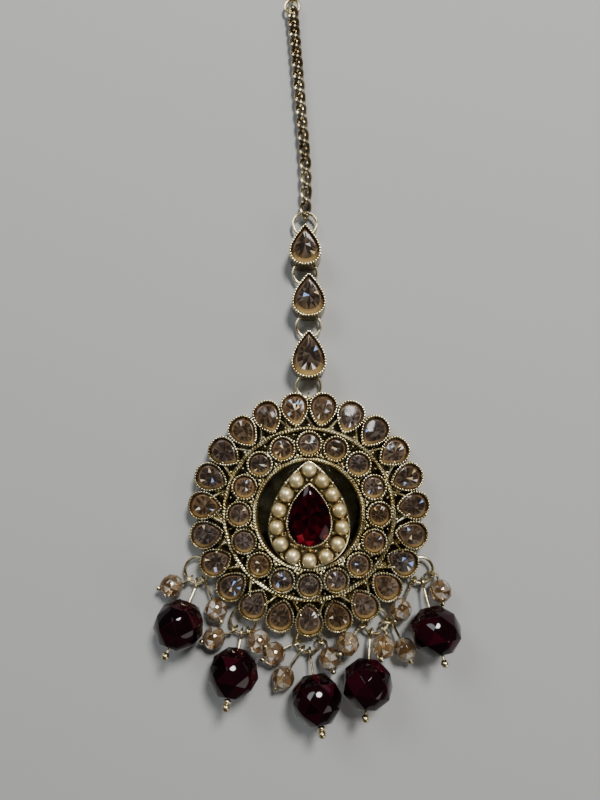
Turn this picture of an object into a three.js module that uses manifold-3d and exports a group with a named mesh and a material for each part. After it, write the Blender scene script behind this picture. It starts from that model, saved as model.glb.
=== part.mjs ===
// A maang tikka lying face up: a hook, a chain and three drop-shaped links that carry a round pendant.
// Five rings along the pendant's lower edge hold dark red and champagne beads on head pins.
// Millimetres. +Y runs along the jewel towards the hook, +Z is its face. It is made with the
// pendant's middle at X = Y = 0 and its back at Z = 0, and moved to the middle of its box at the end.
import * as THREE from 'three';
import { mergeVertices } from 'three/addons/utils/BufferGeometryUtils.js';
import Module from 'manifold-3d';

const wasm = await Module();
wasm.setup();

// Clearance between pieces that touch on the real jewel
const GAP = 0.3;

// Every setting: its collet narrows by the flare, and its stone is sunk below the rim
const RIM_WALL = 0.32;
const COLLET_FLARE = 0.15;
const STONE_SINK = 0.35;
const STONE_CROWN = 0.3;
const TABLE_SHARE = 0.5;
const SETTING_SIDES = 10;

// Petals of the pendant, drop-shaped with the round end outwards
const PENDANT_RADIUS = 19.5;
const PETAL_COUNT = 23;
const PETAL_LENGTH = 5.8;
const PETAL_WIDTH = 4.8;
const PETAL_POINT = 0.55;
const PETAL_HEIGHT = 3.2;
const PETAL_LEAN = THREE.MathUtils.degToRad(12);
const PETAL_PITCH = (2 * Math.PI) / PETAL_COUNT;
const PETAL_CIRCLE = PENDANT_RADIUS - PETAL_LENGTH / 2;

// Sheet behind the settings, which closes the gaps between them. It reaches under the petals' tips.
const BACK_THICKNESS = 0.5;
const BACK_OVERLAP = 0.7;

// Outer circle, which the petals' tips meet
const CIRCLE_WIDTH = 1;
const CIRCLE_DEPTH = 1.6;
const CIRCLE_SIDES = 28;
const OUTER_CIRCLE_RADIUS = PENDANT_RADIUS - PETAL_LENGTH + 0.2 * CIRCLE_WIDTH - CIRCLE_WIDTH / 2;
const OUTER_CIRCLE_TOP = 3.6;

// Round settings between the circles
const ROSETTE_COUNT = 16;
const ROSETTE_SIZE = 4.3;
const ROSETTE_HEIGHT = 3;
const ROSETTE_BACK = 1.7;
const ROSETTE_LEAN = THREE.MathUtils.degToRad(6);
const ROSETTE_CIRCLE = OUTER_CIRCLE_RADIUS - CIRCLE_WIDTH / 4 - ROSETTE_SIZE / 2;

// Inner circle, around the middle plate
const INNER_CIRCLE_RADIUS = ROSETTE_CIRCLE - ROSETTE_SIZE / 2 - CIRCLE_WIDTH / 4;
const INNER_CIRCLE_TOP = 4.6;

// Drop-shaped middle plate, tip up, as long as the inner circle is wide
const PLATE_LENGTH = 2 * INNER_CIRCLE_RADIUS - CIRCLE_WIDTH / 2;
const PLATE_WIDTH = 12.9;
const PLATE_POINT = 0.65;
const PLATE_BACK = 3.1;
const PLATE_THICKNESS = 0.9;
const PLATE_TOP = PLATE_BACK + PLATE_THICKNESS;
const PLATE_SIDES = 24;

// Pearls on the plate, which fill their route around it
const PEARL_COUNT = 14;
const PEARL_SPACING = 0.275;
const PEARL_SIDES = 8;
const PEARL_ROUTE_INSET = 1.4;
const PEARL_ROUTE_LENGTH = outlineLength(
  PLATE_LENGTH - 2 * PEARL_ROUTE_INSET, PLATE_WIDTH - 2 * PEARL_ROUTE_INSET, PLATE_POINT);
const PEARL_SIZE = PEARL_ROUTE_LENGTH / PEARL_COUNT - PEARL_SPACING;
const PEARL_HEIGHT = PLATE_TOP + GAP + 0.42 * PEARL_SIZE;
const PEARL_REACH = PEARL_ROUTE_INSET + PEARL_SIZE / 2 + GAP;

// Middle stone and the bezel under it, inside the pearls
const BEZEL_END_SPACE = 0.5;
const BEZEL_LENGTH = PLATE_LENGTH - 2 * (PEARL_REACH + BEZEL_END_SPACE);
const BEZEL_WIDTH = PLATE_WIDTH - 2 * PEARL_REACH;
const BEZEL_WALL = 0.3;
const BEZEL_HEIGHT = 1.3;
const BEZEL_SIDES = 20;
const STONE_OVERHANG = 0.1;
const STONE_GIRDLE = 0.35;
const STONE_TABLE_HEIGHT = 1.1;
const STONE_PAVILION = 1.4;

// Jump rings
const WIRE_RADIUS = 0.22;
const DROP_RING_RADIUS = 2.05;
const LINK_RING_RADIUS = 2;
const DROP_RING_HEIGHT = 1.3;
const RING_STEPS = 10;
const WIRE_SIDES = 5;
const SEAT_WALL = 0.85;
const TUNNEL_RADIUS = WIRE_RADIUS + GAP;
const DROP_RING_CIRCLE = PENDANT_RADIUS - SEAT_WALL - TUNNEL_RADIUS + DROP_RING_RADIUS;

// Bar between petals 1 and 2, which holds the loop for the lowest link ring
const LOOP_BAR_RADIUS = 0.42;

// Links between the pendant and the chain, from the pendant up, as shares of the lowest link's sizes
// and of the space below it. Aside is how far a link lies to the right, as a share of the width.
const LINK_LENGTH = 8;
const LINK_WIDTH = 5.9;
const LINK_GAP = 2;
const LINK_POINT = 1;
const LINK_HEIGHT = 3.6;
const LINK_SIDES = 12;
const LINKS = [
  { gap: 1, length: 1, width: 1, aside: 0 },
  { gap: 1, length: 0.925, width: 0.965, aside: 0 },
  { gap: 0.55, length: 0.875, width: 0.915, aside: -0.1 },
];
const CHAIN_RING_SEAT = 1.15;

// Chain of interlocked oval links, closer together towards the hook
const CHAIN_LINK_COUNT = 17;
const CHAIN_WIDTH = 2.15;
const CHAIN_WIRE_RADIUS = 0.33;
const CHAIN_LINK_STEPS = 10;
const CHAIN_BUNCHING = 0.24;
const CHAIN_TWIST = Math.PI / 4;
const CHAIN_BITE = 0.85;
const CHAIN_HEIGHT = CHAIN_WIDTH / 2;
const LINK_RING_HEIGHT = CHAIN_HEIGHT;
// The route's points are shares of its length, counted from where the first link starts
const CHAIN_LENGTH = 37.2;
const CHAIN_ROUTE = [
  { x: 0, y: 0 },
  { x: 0.005, y: 0.126 },
  { x: 0, y: 0.277 },
  { x: -0.022, y: 0.551 },
  { x: -0.04, y: 0.78 },
  { x: -0.059, y: 1 },
];

// Hook at the free end
const HOOK_RING_RADIUS = 1.25;
const HOOK_EYE_RADIUS = 0.78;
const HOOK_EYE_WIRE = 0.26;
const HOOK_WIRE = 0.45;
const HOOK_REST_HEIGHT = HOOK_WIRE + 0.05;
const HOOK_SHAFT = 8.5;
const HOOK_INNER_WIDTH = 4.8;
const HOOK_RETURN = 6;
const HOOK_TIP_FLARE = 0.7;
const HOOK_STEPS = 16;
const HOOK_SIDES = 6;

// Head pins and beads. An eye loop stands upright around its ring's wire.
const EYE_RADIUS = 0.75;
const PIN_RADIUS = 0.2;
const PIN_SIDES = 5;
const BALL_SIDES = 6;
const EYE_STEPS = 8;
const BEAD_SIDES = 10;
const RED_BEAD_SIDES = 10;
const RED_BEAD_RADIUS = 3.95;
const RED_BEAD_HOLE = PIN_RADIUS + GAP;
const SMALL_BEAD_RADIUS = 1.85;
const RED_BALL_RADIUS = 0.6;
const SMALL_BALL_RADIUS = 0.45;
const RED_PIN_TAIL = 0.75;
const SMALL_PIN_TAIL = 0.12;

// Drop rings by the petal that each hangs from, counted from the top, clockwise
const DROP_RING_PETALS = [17, 15, 13, 11, 9];

// Drops: the ring that holds each, its place on that ring, the way its pin leaves (degrees from +X),
// the bare pin between eye loop and bead, and how far the bead lies above the surface
const RED_DROPS = [
  { ring: 1, place: -94.9, leave: -110.1, neck: 1.79, lift: 0 },
  { ring: 2, place: -98.0, leave: -100.5, neck: 0.93, lift: 0 },
  { ring: 3, place: -84.8, leave: -80.8, neck: 1.76, lift: 0 },
  { ring: 4, place: -106.8, leave: -97.9, neck: 2.38, lift: 0 },
  { ring: 5, place: -80.1, leave: -78.4, neck: 2.41, lift: 0 },
];
const SMALL_DROPS = [
  { ring: 1, place: -132.9, leave: -162.0, neck: 0.04, lift: 0 },
  { ring: 1, place: -57.0, leave: -64.7, neck: 2.03, lift: 0 },
  { ring: 2, place: -138.8, leave: -159.3, neck: 0.5, lift: 0 },
  { ring: 2, place: -59.9, leave: -21.6, neck: 0.13, lift: 1.85 },
  { ring: 3, place: -164.3, leave: -157.6, neck: 1.08, lift: 0 },
  { ring: 3, place: -125.3, leave: -125.3, neck: 2.2, lift: 0 },
  { ring: 3, place: -9.1, leave: -61.8, neck: 0.04, lift: 0 },
  { ring: 4, place: -156.6, leave: -138.7, neck: 0.95, lift: 1.05 },
  { ring: 4, place: -40.8, leave: -101.6, neck: 0.02, lift: 1.45 },
  { ring: 4, place: -3.3, leave: -57.1, neck: 2.18, lift: 0 },
  { ring: 5, place: -123.1, leave: -117.1, neck: 2.15, lift: 0 },
  { ring: 5, place: -16.1, leave: -67.5, neck: 0.03, lift: 0 },
];

// Sections of turned forms, as shares of the radius: distance from the axis and place along it
const BALL_ROWS = [
  { out: 0.5, along: -0.87 },
  { out: 1, along: 0 },
  { out: 0.5, along: 0.87 },
];
const PEARL_ROWS = [
  { out: 0.8, along: -0.75 },
  { out: 1, along: 0 },
  { out: 0.55, along: 0.84 },
];
const SMALL_BEAD_ROWS = [
  { out: 0.38, along: -0.92 },
  { out: 0.94, along: -0.34 },
  { out: 0.94, along: 0.34 },
  { out: 0.38, along: 0.92 },
];
const RED_BEAD_ROWS = [
  { out: 0.5, along: -0.86 },
  { out: 0.93, along: -0.37 },
  { out: 0.93, along: 0.37 },
  { out: 0.5, along: 0.86 },
];

const MATERIALS = {
  gold: new THREE.MeshStandardMaterial({ color: '#8a713a', roughness: 0.35, metalness: 1 }),
  champagne: new THREE.MeshStandardMaterial({ color: '#b98f63', roughness: 0.08, metalness: 0 }),
  garnet: new THREE.MeshStandardMaterial({ color: '#3a0410', roughness: 0.05, metalness: 0 }),
  pearl: new THREE.MeshStandardMaterial({ color: '#e3d6b4', roughness: 0.3, metalness: 0 }),
};

const UP = new THREE.Vector3(0, 0, 1);
const ALONG = new THREE.Vector3(0, 1, 0);

// Closed skin through rings of points. An open row of rings is capped, a closed one meets itself.
function loft(rings, meetsItself = false) {
  const sides = rings[0].length;
  const positions = rings.flat().flatMap((point) => point.toArray());
  const faces = [];
  const bands = meetsItself ? rings.length : rings.length - 1;
  for (let band = 0; band < bands; band += 1) {
    const next = (band + 1) % rings.length;
    for (let side = 0; side < sides; side += 1) {
      const beside = (side + 1) % sides;
      const [a, b] = [band * sides + side, band * sides + beside];
      const [c, d] = [next * sides + side, next * sides + beside];
      faces.push(a, b, d, a, d, c);
    }
  }
  if (!meetsItself) {
    const last = (rings.length - 1) * sides;
    for (let side = 1; side < sides - 1; side += 1) {
      faces.push(0, side + 1, side, last, last + side, last + side + 1);
    }
  }
  const geometry = new THREE.BufferGeometry();
  geometry.setAttribute('position', new THREE.Float32BufferAttribute(positions, 3));
  geometry.setIndex(faces);
  return geometry;
}

// Six times the volume inside a skin, negative when its faces point inwards
function signedVolume(positions, faces) {
  const corner = (index) => new THREE.Vector3().fromArray(positions, index * 3);
  let volume = 0;
  for (let face = 0; face < faces.length; face += 3) {
    const [a, b, c] = [corner(faces[face]), corner(faces[face + 1]), corner(faces[face + 2])];
    volume += a.dot(b.cross(c));
  }
  return volume;
}

// Solid for joining and cutting, from a closed geometry
function solid(geometry, matrix = new THREE.Matrix4()) {
  const bare = geometry.clone();
  bare.deleteAttribute('normal');
  bare.deleteAttribute('uv');
  const skin = mergeVertices(bare, 1e-5).applyMatrix4(matrix);
  const vertProperties = new Float32Array(skin.attributes.position.array);
  const triVerts = new Uint32Array(skin.index.array);
  if (signedVolume(vertProperties, triVerts) < 0) {
    triVerts.reverse();
  }
  return new wasm.Manifold(new wasm.Mesh({ numProp: 3, vertProperties, triVerts }));
}

function joined(solids) {
  return solids.reduce((whole, piece) => whole.add(piece));
}

function geometryOf(body) {
  const mesh = body.getMesh();
  const geometry = new THREE.BufferGeometry();
  geometry.setAttribute('position', new THREE.Float32BufferAttribute(mesh.vertProperties, 3));
  geometry.setIndex(Array.from(mesh.triVerts));
  geometry.computeVertexNormals();
  return geometry;
}

// Outline of a drop: round end towards +X and tip towards -X. It is sharp where point is 1, and an
// ellipse where it is 0.
function dropPoint(length, width, point, turn) {
  const widest = point / (2 + point);
  const fullest = Math.sqrt(1 - widest ** 2) * ((1 + widest) / 2) ** (point / 2);
  const across = (Math.sin(turn) * Math.abs(Math.cos(turn / 2)) ** point) / fullest;
  return new THREE.Vector2((length / 2) * Math.cos(turn), (width / 2) * across);
}

// Length of the way around a drop's outline
function outlineLength(length, width, point) {
  const steps = 200;
  let run = 0;
  for (let step = 0; step < steps; step += 1) {
    const here = dropPoint(length, width, point, (2 * Math.PI * step) / steps);
    const after = dropPoint(length, width, point, (2 * Math.PI * (step + 1)) / steps);
    run += here.distanceTo(after);
  }
  return run;
}

// Body through levels of one drop outline, each set in from it and at its own height.
// The levels' tops slope down towards the round end by the lean.
function dropBody({ length, width, point, sides, lean = 0, levels }) {
  const slope = Math.tan(lean);
  const rings = levels.map(({ inset, share = 1, height, level = 0 }) =>
    Array.from({ length: sides }, (_, side) => {
      const turn = (2 * Math.PI * side) / sides;
      const place = dropPoint(length - 2 * inset, width - 2 * inset, point, turn).multiplyScalar(share);
      return new THREE.Vector3(place.x, place.y, height - level * slope * place.x);
    }));
  return loft(rings);
}

// Setting with its stone fused in: back, collet up to a thin bevelled rim, sunk girdle and table
function setting({ length, width, point, sides, lean, height }) {
  const inner = COLLET_FLARE + RIM_WALL;
  return dropBody({
    length, width, point, sides, lean,
    levels: [
      { inset: 0, height: 0 },
      { inset: COLLET_FLARE, height, level: 1 },
      { inset: inner, height: height - STONE_SINK, level: 1 },
      { inset: inner, share: TABLE_SHARE, height: height - STONE_SINK + STONE_CROWN, level: 1 },
    ],
  });
}

// Turned body along an axis through a middle point; a bore keeps it open along the axis
function turned(rows, radius, sides, middle, axis, bore = 0) {
  const sections = rows.map(({ out, along }) => ({ out: out * radius, along: along * radius }));
  if (bore > 0) {
    const ends = [sections.at(-1), sections[0]];
    sections.push(...ends.map(({ along }) => ({ out: bore, along })));
  }
  const rings = sections.map(({ out, along }) =>
    Array.from({ length: sides }, (_, side) => {
      const turn = (2 * Math.PI * (side + 0.5)) / sides;
      return new THREE.Vector3(out * Math.cos(turn), out * Math.sin(turn), along);
    }));
  const spin = new THREE.Quaternion().setFromUnitVectors(UP, axis);
  const place = new THREE.Matrix4().compose(middle, spin, new THREE.Vector3(1, 1, 1));
  return loft(rings, bore > 0).applyMatrix4(place);
}

// Closed wire on an oval, half as long as `half` along `ahead` and half as wide as `halfWidth` along `side`
function oval({ middle, ahead, side, half, halfWidth, wire, steps, sides }) {
  const normal = new THREE.Vector3().crossVectors(ahead, side);
  const rings = Array.from({ length: steps }, (_, step) => {
    const turn = (2 * Math.PI * (step + 0.5)) / steps;
    const centre = middle.clone()
      .addScaledVector(ahead, half * Math.cos(turn))
      .addScaledVector(side, halfWidth * Math.sin(turn));
    const outwards = new THREE.Vector3()
      .addScaledVector(ahead, halfWidth * Math.cos(turn))
      .addScaledVector(side, half * Math.sin(turn))
      .normalize();
    return Array.from({ length: sides }, (_unused, corner) => {
      const around = (2 * Math.PI * corner) / sides;
      return centre.clone()
        .addScaledVector(outwards, wire * Math.cos(around))
        .addScaledVector(normal, wire * Math.sin(around));
    });
  });
  return loft(rings, true);
}

function flatRing(middle, radius, wire, steps = RING_STEPS, sides = WIRE_SIDES) {
  const [ahead, side] = [new THREE.Vector3(1, 0, 0), ALONG];
  return oval({ middle, ahead, side, half: radius, halfWidth: radius, wire, steps, sides });
}

// Upright ring whose plane holds the given level direction
function uprightRing(middle, ahead, radius, wire, steps) {
  return oval({ middle, ahead, side: UP, half: radius, halfWidth: radius, wire, steps, sides: WIRE_SIDES });
}

// Straight wire between two points
function rod(start, end, radius, sides = PIN_SIDES) {
  const axis = end.clone().sub(start);
  const half = axis.length() / 2;
  const rows = [{ out: 1, along: -half / radius }, { out: 1, along: half / radius }];
  return turned(rows, radius, sides, start.clone().add(end).multiplyScalar(0.5), axis.normalize());
}

function level(angle) {
  return new THREE.Vector3(Math.cos(angle), Math.sin(angle), 0);
}

function placed(angle, radius, height = 0) {
  const place = new THREE.Matrix4().makeRotationZ(angle);
  return place.setPosition(level(angle).multiplyScalar(radius).setZ(height));
}

const jewel = new THREE.Group();

function addPiece(name, body, material) {
  const mesh = new THREE.Mesh(geometryOf(body), material);
  mesh.name = name;
  jewel.add(mesh);
}

// Petal numbers count clockwise, and numbers 1 and 2 lie beside the link's ring at the top
function petalAngle(number) {
  return Math.PI / 2 + PETAL_PITCH * (1.5 - number);
}

function ringMiddle(number) {
  const angle = petalAngle(DROP_RING_PETALS[number - 1]);
  return level(angle).multiplyScalar(DROP_RING_CIRCLE).setZ(DROP_RING_HEIGHT);
}

// Pendant
function circleBand(radius, top) {
  const levels = [
    { out: radius - CIRCLE_WIDTH / 2, height: top - CIRCLE_DEPTH },
    { out: radius + CIRCLE_WIDTH / 2, height: top - CIRCLE_DEPTH },
    { out: radius + CIRCLE_WIDTH / 2, height: top - CIRCLE_WIDTH / 2 },
    { out: radius, height: top },
    { out: radius - CIRCLE_WIDTH / 2, height: top - CIRCLE_WIDTH / 2 },
  ];
  const rings = levels.map(({ out, height }) =>
    Array.from({ length: CIRCLE_SIDES }, (_, side) =>
      level((2 * Math.PI * side) / CIRCLE_SIDES).multiplyScalar(out).setZ(height)));
  return solid(loft(rings, true));
}

function backSheet() {
  const radius = PENDANT_RADIUS - PETAL_LENGTH + BACK_OVERLAP;
  const rings = [0, BACK_THICKNESS].map((height) =>
    Array.from({ length: CIRCLE_SIDES }, (_, side) =>
      level((2 * Math.PI * side) / CIRCLE_SIDES).multiplyScalar(radius).setZ(height)));
  return solid(loft(rings));
}

const LOWEST_RING_MIDDLE = new THREE.Vector3(0, PENDANT_RADIUS + LINK_GAP / 2, LINK_RING_HEIGHT);

function petals() {
  const petal = setting({
    length: PETAL_LENGTH, width: PETAL_WIDTH, point: PETAL_POINT,
    sides: SETTING_SIDES, lean: PETAL_LEAN, height: PETAL_HEIGHT,
  });
  const linkTunnel = solid(flatRing(LOWEST_RING_MIDDLE, LINK_RING_RADIUS, TUNNEL_RADIUS));
  return Array.from({ length: PETAL_COUNT }, (_, index) => {
    const number = index + 1;
    const body = solid(petal, placed(petalAngle(number), PETAL_CIRCLE));
    const ring = DROP_RING_PETALS.indexOf(number) + 1;
    if (ring > 0) {
      return body.subtract(solid(flatRing(ringMiddle(ring), DROP_RING_RADIUS, TUNNEL_RADIUS)));
    }
    return number <= 2 ? body.subtract(linkTunnel) : body;
  });
}

function rosettes() {
  const rosette = setting({
    length: ROSETTE_SIZE, width: ROSETTE_SIZE, point: 0,
    sides: SETTING_SIDES, lean: ROSETTE_LEAN, height: ROSETTE_HEIGHT,
  });
  return Array.from({ length: ROSETTE_COUNT }, (_, index) => {
    const angle = Math.PI / 2 - (2 * Math.PI * index) / ROSETTE_COUNT;
    return solid(rosette, placed(angle, ROSETTE_CIRCLE, ROSETTE_BACK));
  });
}

// Pieces of the middle point their tips up the jewel
const TIP_UP = new THREE.Matrix4().makeRotationZ(-Math.PI / 2);

function plateWithBezel() {
  const plate = dropBody({
    length: PLATE_LENGTH, width: PLATE_WIDTH, point: PLATE_POINT, sides: PLATE_SIDES,
    levels: [{ inset: 0, height: PLATE_BACK }, { inset: 0, height: PLATE_TOP }],
  });
  const foot = PLATE_TOP - PLATE_THICKNESS / 2;
  const bezel = dropBody({
    length: BEZEL_LENGTH, width: BEZEL_WIDTH, point: PLATE_POINT, sides: BEZEL_SIDES,
    levels: [
      { inset: 0, height: foot },
      { inset: 0, height: PLATE_TOP + BEZEL_HEIGHT },
      { inset: BEZEL_WALL, height: PLATE_TOP + BEZEL_HEIGHT },
      { inset: BEZEL_WALL, height: PLATE_TOP },
    ],
  });
  return [solid(plate, TIP_UP), solid(bezel, TIP_UP)];
}

// The upright loop between petals 1 and 2 that the lowest link ring passes through
function pendantLoop() {
  const middle = LOWEST_RING_MIDDLE.clone();
  middle.y -= LINK_RING_RADIUS;
  const loop = uprightRing(middle, ALONG, EYE_RADIUS, PIN_RADIUS, EYE_STEPS);
  const barY = middle.y - EYE_RADIUS;
  const reach = PETAL_CIRCLE * Math.sin(PETAL_PITCH / 2);
  const bar = rod(
    new THREE.Vector3(-reach, barY, LINK_RING_HEIGHT),
    new THREE.Vector3(reach, barY, LINK_RING_HEIGHT),
    LOOP_BAR_RADIUS);
  return [solid(loop), solid(bar)];
}

function addPendant() {
  const frame = joined([
    backSheet(),
    circleBand(OUTER_CIRCLE_RADIUS, OUTER_CIRCLE_TOP),
    circleBand(INNER_CIRCLE_RADIUS, INNER_CIRCLE_TOP),
    ...petals(),
    ...rosettes(),
    ...plateWithBezel(),
    ...pendantLoop(),
  ]);
  addPiece('pendant_frame', frame, MATERIALS.gold);
}

function addCentreStone() {
  const girdle = PLATE_TOP + BEZEL_HEIGHT + GAP;
  const body = dropBody({
    length: BEZEL_LENGTH, width: BEZEL_WIDTH, point: PLATE_POINT, sides: BEZEL_SIDES,
    levels: [
      { inset: BEZEL_WIDTH / 4, height: girdle - STONE_PAVILION + GAP },
      { inset: STONE_OVERHANG, height: girdle },
      { inset: STONE_OVERHANG, height: girdle + STONE_GIRDLE },
      { inset: BEZEL_WIDTH / 8, height: girdle + STONE_TABLE_HEIGHT },
    ],
  });
  addPiece('centre_stone', solid(body, TIP_UP), MATERIALS.garnet);
}

// Curve that the pearls' middles follow, from the plate's tip around and back
class PearlRoute extends THREE.Curve {
  getPoint(share) {
    const turn = Math.PI + 2 * Math.PI * share;
    const length = PLATE_LENGTH - 2 * PEARL_ROUTE_INSET;
    const place = dropPoint(length, PLATE_WIDTH - 2 * PEARL_ROUTE_INSET, PLATE_POINT, turn);
    return new THREE.Vector3(place.x, place.y, PEARL_HEIGHT);
  }
}

function addPearls() {
  const route = new PearlRoute();
  for (let index = 0; index < PEARL_COUNT; index += 1) {
    const middle = route.getPointAt(index / PEARL_COUNT);
    const pearl = solid(turned(PEARL_ROWS, PEARL_SIZE / 2, PEARL_SIDES, middle, UP), TIP_UP);
    addPiece(`pearl_${String(index + 1).padStart(2, '0')}`, pearl, MATERIALS.pearl);
  }
}

// Links, their rings and the chain
function addLinks() {
  let bottom = PENDANT_RADIUS;
  const ringMiddles = [];
  const bodies = LINKS.map((shares) => {
    const gap = LINK_GAP * shares.gap;
    const length = LINK_LENGTH * shares.length;
    const width = LINK_WIDTH * shares.width;
    const x = LINK_WIDTH * shares.aside;
    ringMiddles.push(new THREE.Vector3(x, bottom + gap / 2, LINK_RING_HEIGHT));
    bottom += gap;
    const shape = setting({
      length, width, point: LINK_POINT, sides: LINK_SIDES, lean: 0, height: LINK_HEIGHT,
    });
    const place = TIP_UP.clone().setPosition(x, bottom + length / 2, 0);
    bottom += length;
    return solid(shape, place);
  });
  const topX = ringMiddles.at(-1).x;
  const topY = bottom + LINK_RING_RADIUS - CHAIN_RING_SEAT;
  ringMiddles.push(new THREE.Vector3(topX, topY, LINK_RING_HEIGHT));
  bodies.forEach((body, index) => {
    const tunnels = ringMiddles.slice(index, index + 2)
      .map((middle) => solid(flatRing(middle, LINK_RING_RADIUS, TUNNEL_RADIUS)));
    const number = LINKS.length - index;
    const cut = tunnels.reduce((whole, tunnel) => whole.subtract(tunnel), body);
    addPiece(`link_setting_${number}`, cut, MATERIALS.gold);
  });
  ringMiddles.forEach((middle, index) => {
    const ring = solid(flatRing(middle, LINK_RING_RADIUS, WIRE_RADIUS));
    addPiece(`link_ring_${ringMiddles.length - index}`, ring, MATERIALS.gold);
  });
  return ringMiddles.at(-1);
}

// Pitches of the chain's links, and the half length that lets each link hold its neighbours
function chainSpacing(length) {
  const steps = CHAIN_LINK_COUNT - 1;
  const shares = Array.from({ length: steps }, (_, step) =>
    1 + CHAIN_BUNCHING * (1 - (2 * step) / (steps - 1)));
  const total = shares.reduce((sum, share) => sum + share, (shares[0] + shares.at(-1)) / 2);
  const bite = CHAIN_BITE * CHAIN_WIRE_RADIUS;
  const pitches = shares.map((share) => (share * (length - 2 * bite)) / total);
  const halves = Array.from({ length: CHAIN_LINK_COUNT }, (_, link) => {
    const [before, after] = [pitches[link - 1] ?? pitches[link], pitches[link] ?? pitches[link - 1]];
    return (before + after) / 4 + bite;
  });
  return { pitches, halves };
}

function addChain(ringMiddle) {
  const startY = ringMiddle.y + LINK_RING_RADIUS - WIRE_RADIUS - GAP - CHAIN_WIRE_RADIUS;
  const start = new THREE.Vector3(ringMiddle.x, startY, CHAIN_HEIGHT);
  const points = CHAIN_ROUTE.map(({ x, y }) =>
    new THREE.Vector3(x, y, 0).multiplyScalar(CHAIN_LENGTH).add(start));
  const route = new THREE.CatmullRomCurve3(points);
  const length = route.getLength();
  const { pitches, halves } = chainSpacing(length);
  const halfWidth = (CHAIN_WIDTH / 2 - CHAIN_WIRE_RADIUS) / Math.cos(CHAIN_TWIST);
  let run = halves[0];
  const links = halves.map((half, index) => {
    const share = run / length;
    run += pitches[index] ?? 0;
    const ahead = route.getTangentAt(share);
    const across = new THREE.Vector3().crossVectors(ahead, UP).normalize();
    const twist = index % 2 === 0 ? CHAIN_TWIST : -CHAIN_TWIST;
    const side = across.applyAxisAngle(ahead, twist);
    return solid(oval({
      middle: route.getPointAt(share), ahead, side, half, halfWidth,
      wire: CHAIN_WIRE_RADIUS, steps: CHAIN_LINK_STEPS, sides: WIRE_SIDES,
    }));
  });
  addPiece('chain', joined(links), MATERIALS.gold);
  return points.at(-1);
}

// Hook: an eye around the hook ring, a shaft, a round bend and a return with a flared tip
function addHook(chainEnd) {
  const seat = CHAIN_WIRE_RADIUS + GAP + WIRE_RADIUS;
  const ringMiddle = chainEnd.clone();
  ringMiddle.y += HOOK_RING_RADIUS - seat;
  addPiece('hook_ring', solid(flatRing(ringMiddle, HOOK_RING_RADIUS, WIRE_RADIUS)), MATERIALS.gold);

  const eyeMiddle = ringMiddle.clone();
  eyeMiddle.y += HOOK_RING_RADIUS;
  const eye = uprightRing(eyeMiddle, ALONG, HOOK_EYE_RADIUS, HOOK_EYE_WIRE, EYE_STEPS);
  const start = eyeMiddle.clone();
  start.y += HOOK_EYE_RADIUS;
  const bendRadius = HOOK_INNER_WIDTH / 2 + HOOK_WIRE;
  const bendMiddle = new THREE.Vector3(start.x + bendRadius, start.y + HOOK_SHAFT, HOOK_REST_HEIGHT);
  const fromBend = (x, y) => bendMiddle.clone().add(new THREE.Vector3(x, y, 0));
  const path = new THREE.CatmullRomCurve3([
    start,
    new THREE.Vector3(start.x, start.y + HOOK_SHAFT / 2, (start.z + HOOK_REST_HEIGHT) / 2),
    ...[1, 0.75, 0.5, 0.25, 0].map((share) =>
      level(Math.PI * share).multiplyScalar(bendRadius).add(bendMiddle)),
    fromBend(bendRadius, -HOOK_RETURN / 2),
    fromBend(bendRadius + HOOK_TIP_FLARE, -HOOK_RETURN),
  ], false, 'centripetal');
  const section = new THREE.Shape(Array.from({ length: HOOK_SIDES }, (_, side) => {
    const turn = (2 * Math.PI * (side + 0.5)) / HOOK_SIDES;
    return new THREE.Vector2(HOOK_WIRE * Math.cos(turn), HOOK_WIRE * Math.sin(turn));
  }));
  const wire = new THREE.ExtrudeGeometry(section, { extrudePath: path, steps: HOOK_STEPS });
  addPiece('hair_hook', solid(wire).add(solid(eye)), MATERIALS.gold);
}

// Where a drop's eye loop, pin and bead lie
function dropPlaces({ ring, place, leave, neck, lift }, beadRadius) {
  const outwards = level(THREE.MathUtils.degToRad(place));
  const eye = ringMiddle(ring).addScaledVector(outwards, DROP_RING_RADIUS);
  const reach = EYE_RADIUS + PIN_RADIUS + neck + beadRadius;
  const rise = beadRadius + lift - eye.z;
  const run = Math.sqrt(reach ** 2 - rise ** 2);
  const bead = eye.clone().addScaledVector(level(THREE.MathUtils.degToRad(leave)), run);
  bead.z += rise;
  const towards = bead.clone().sub(eye);
  const inPlane = outwards.clone().multiplyScalar(towards.dot(outwards)).setZ(towards.z).normalize();
  const pinStart = eye.clone().addScaledVector(inPlane, EYE_RADIUS);
  const axis = bead.clone().sub(pinStart).normalize();
  return { outwards, eye, bead, pinStart, axis };
}

// Eye loop, pin and ball end. In a small drop the pin ends in the bead, which carries the ball.
function headPin({ outwards, eye, pinStart, axis }, pinEnd, ballMiddle, ballRadius) {
  return joined([
    solid(uprightRing(eye, outwards, EYE_RADIUS, PIN_RADIUS, EYE_STEPS)),
    solid(rod(pinStart, pinEnd, PIN_RADIUS)),
    solid(turned(BALL_ROWS, ballRadius, BALL_SIDES, ballMiddle, axis)),
  ]);
}

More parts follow.
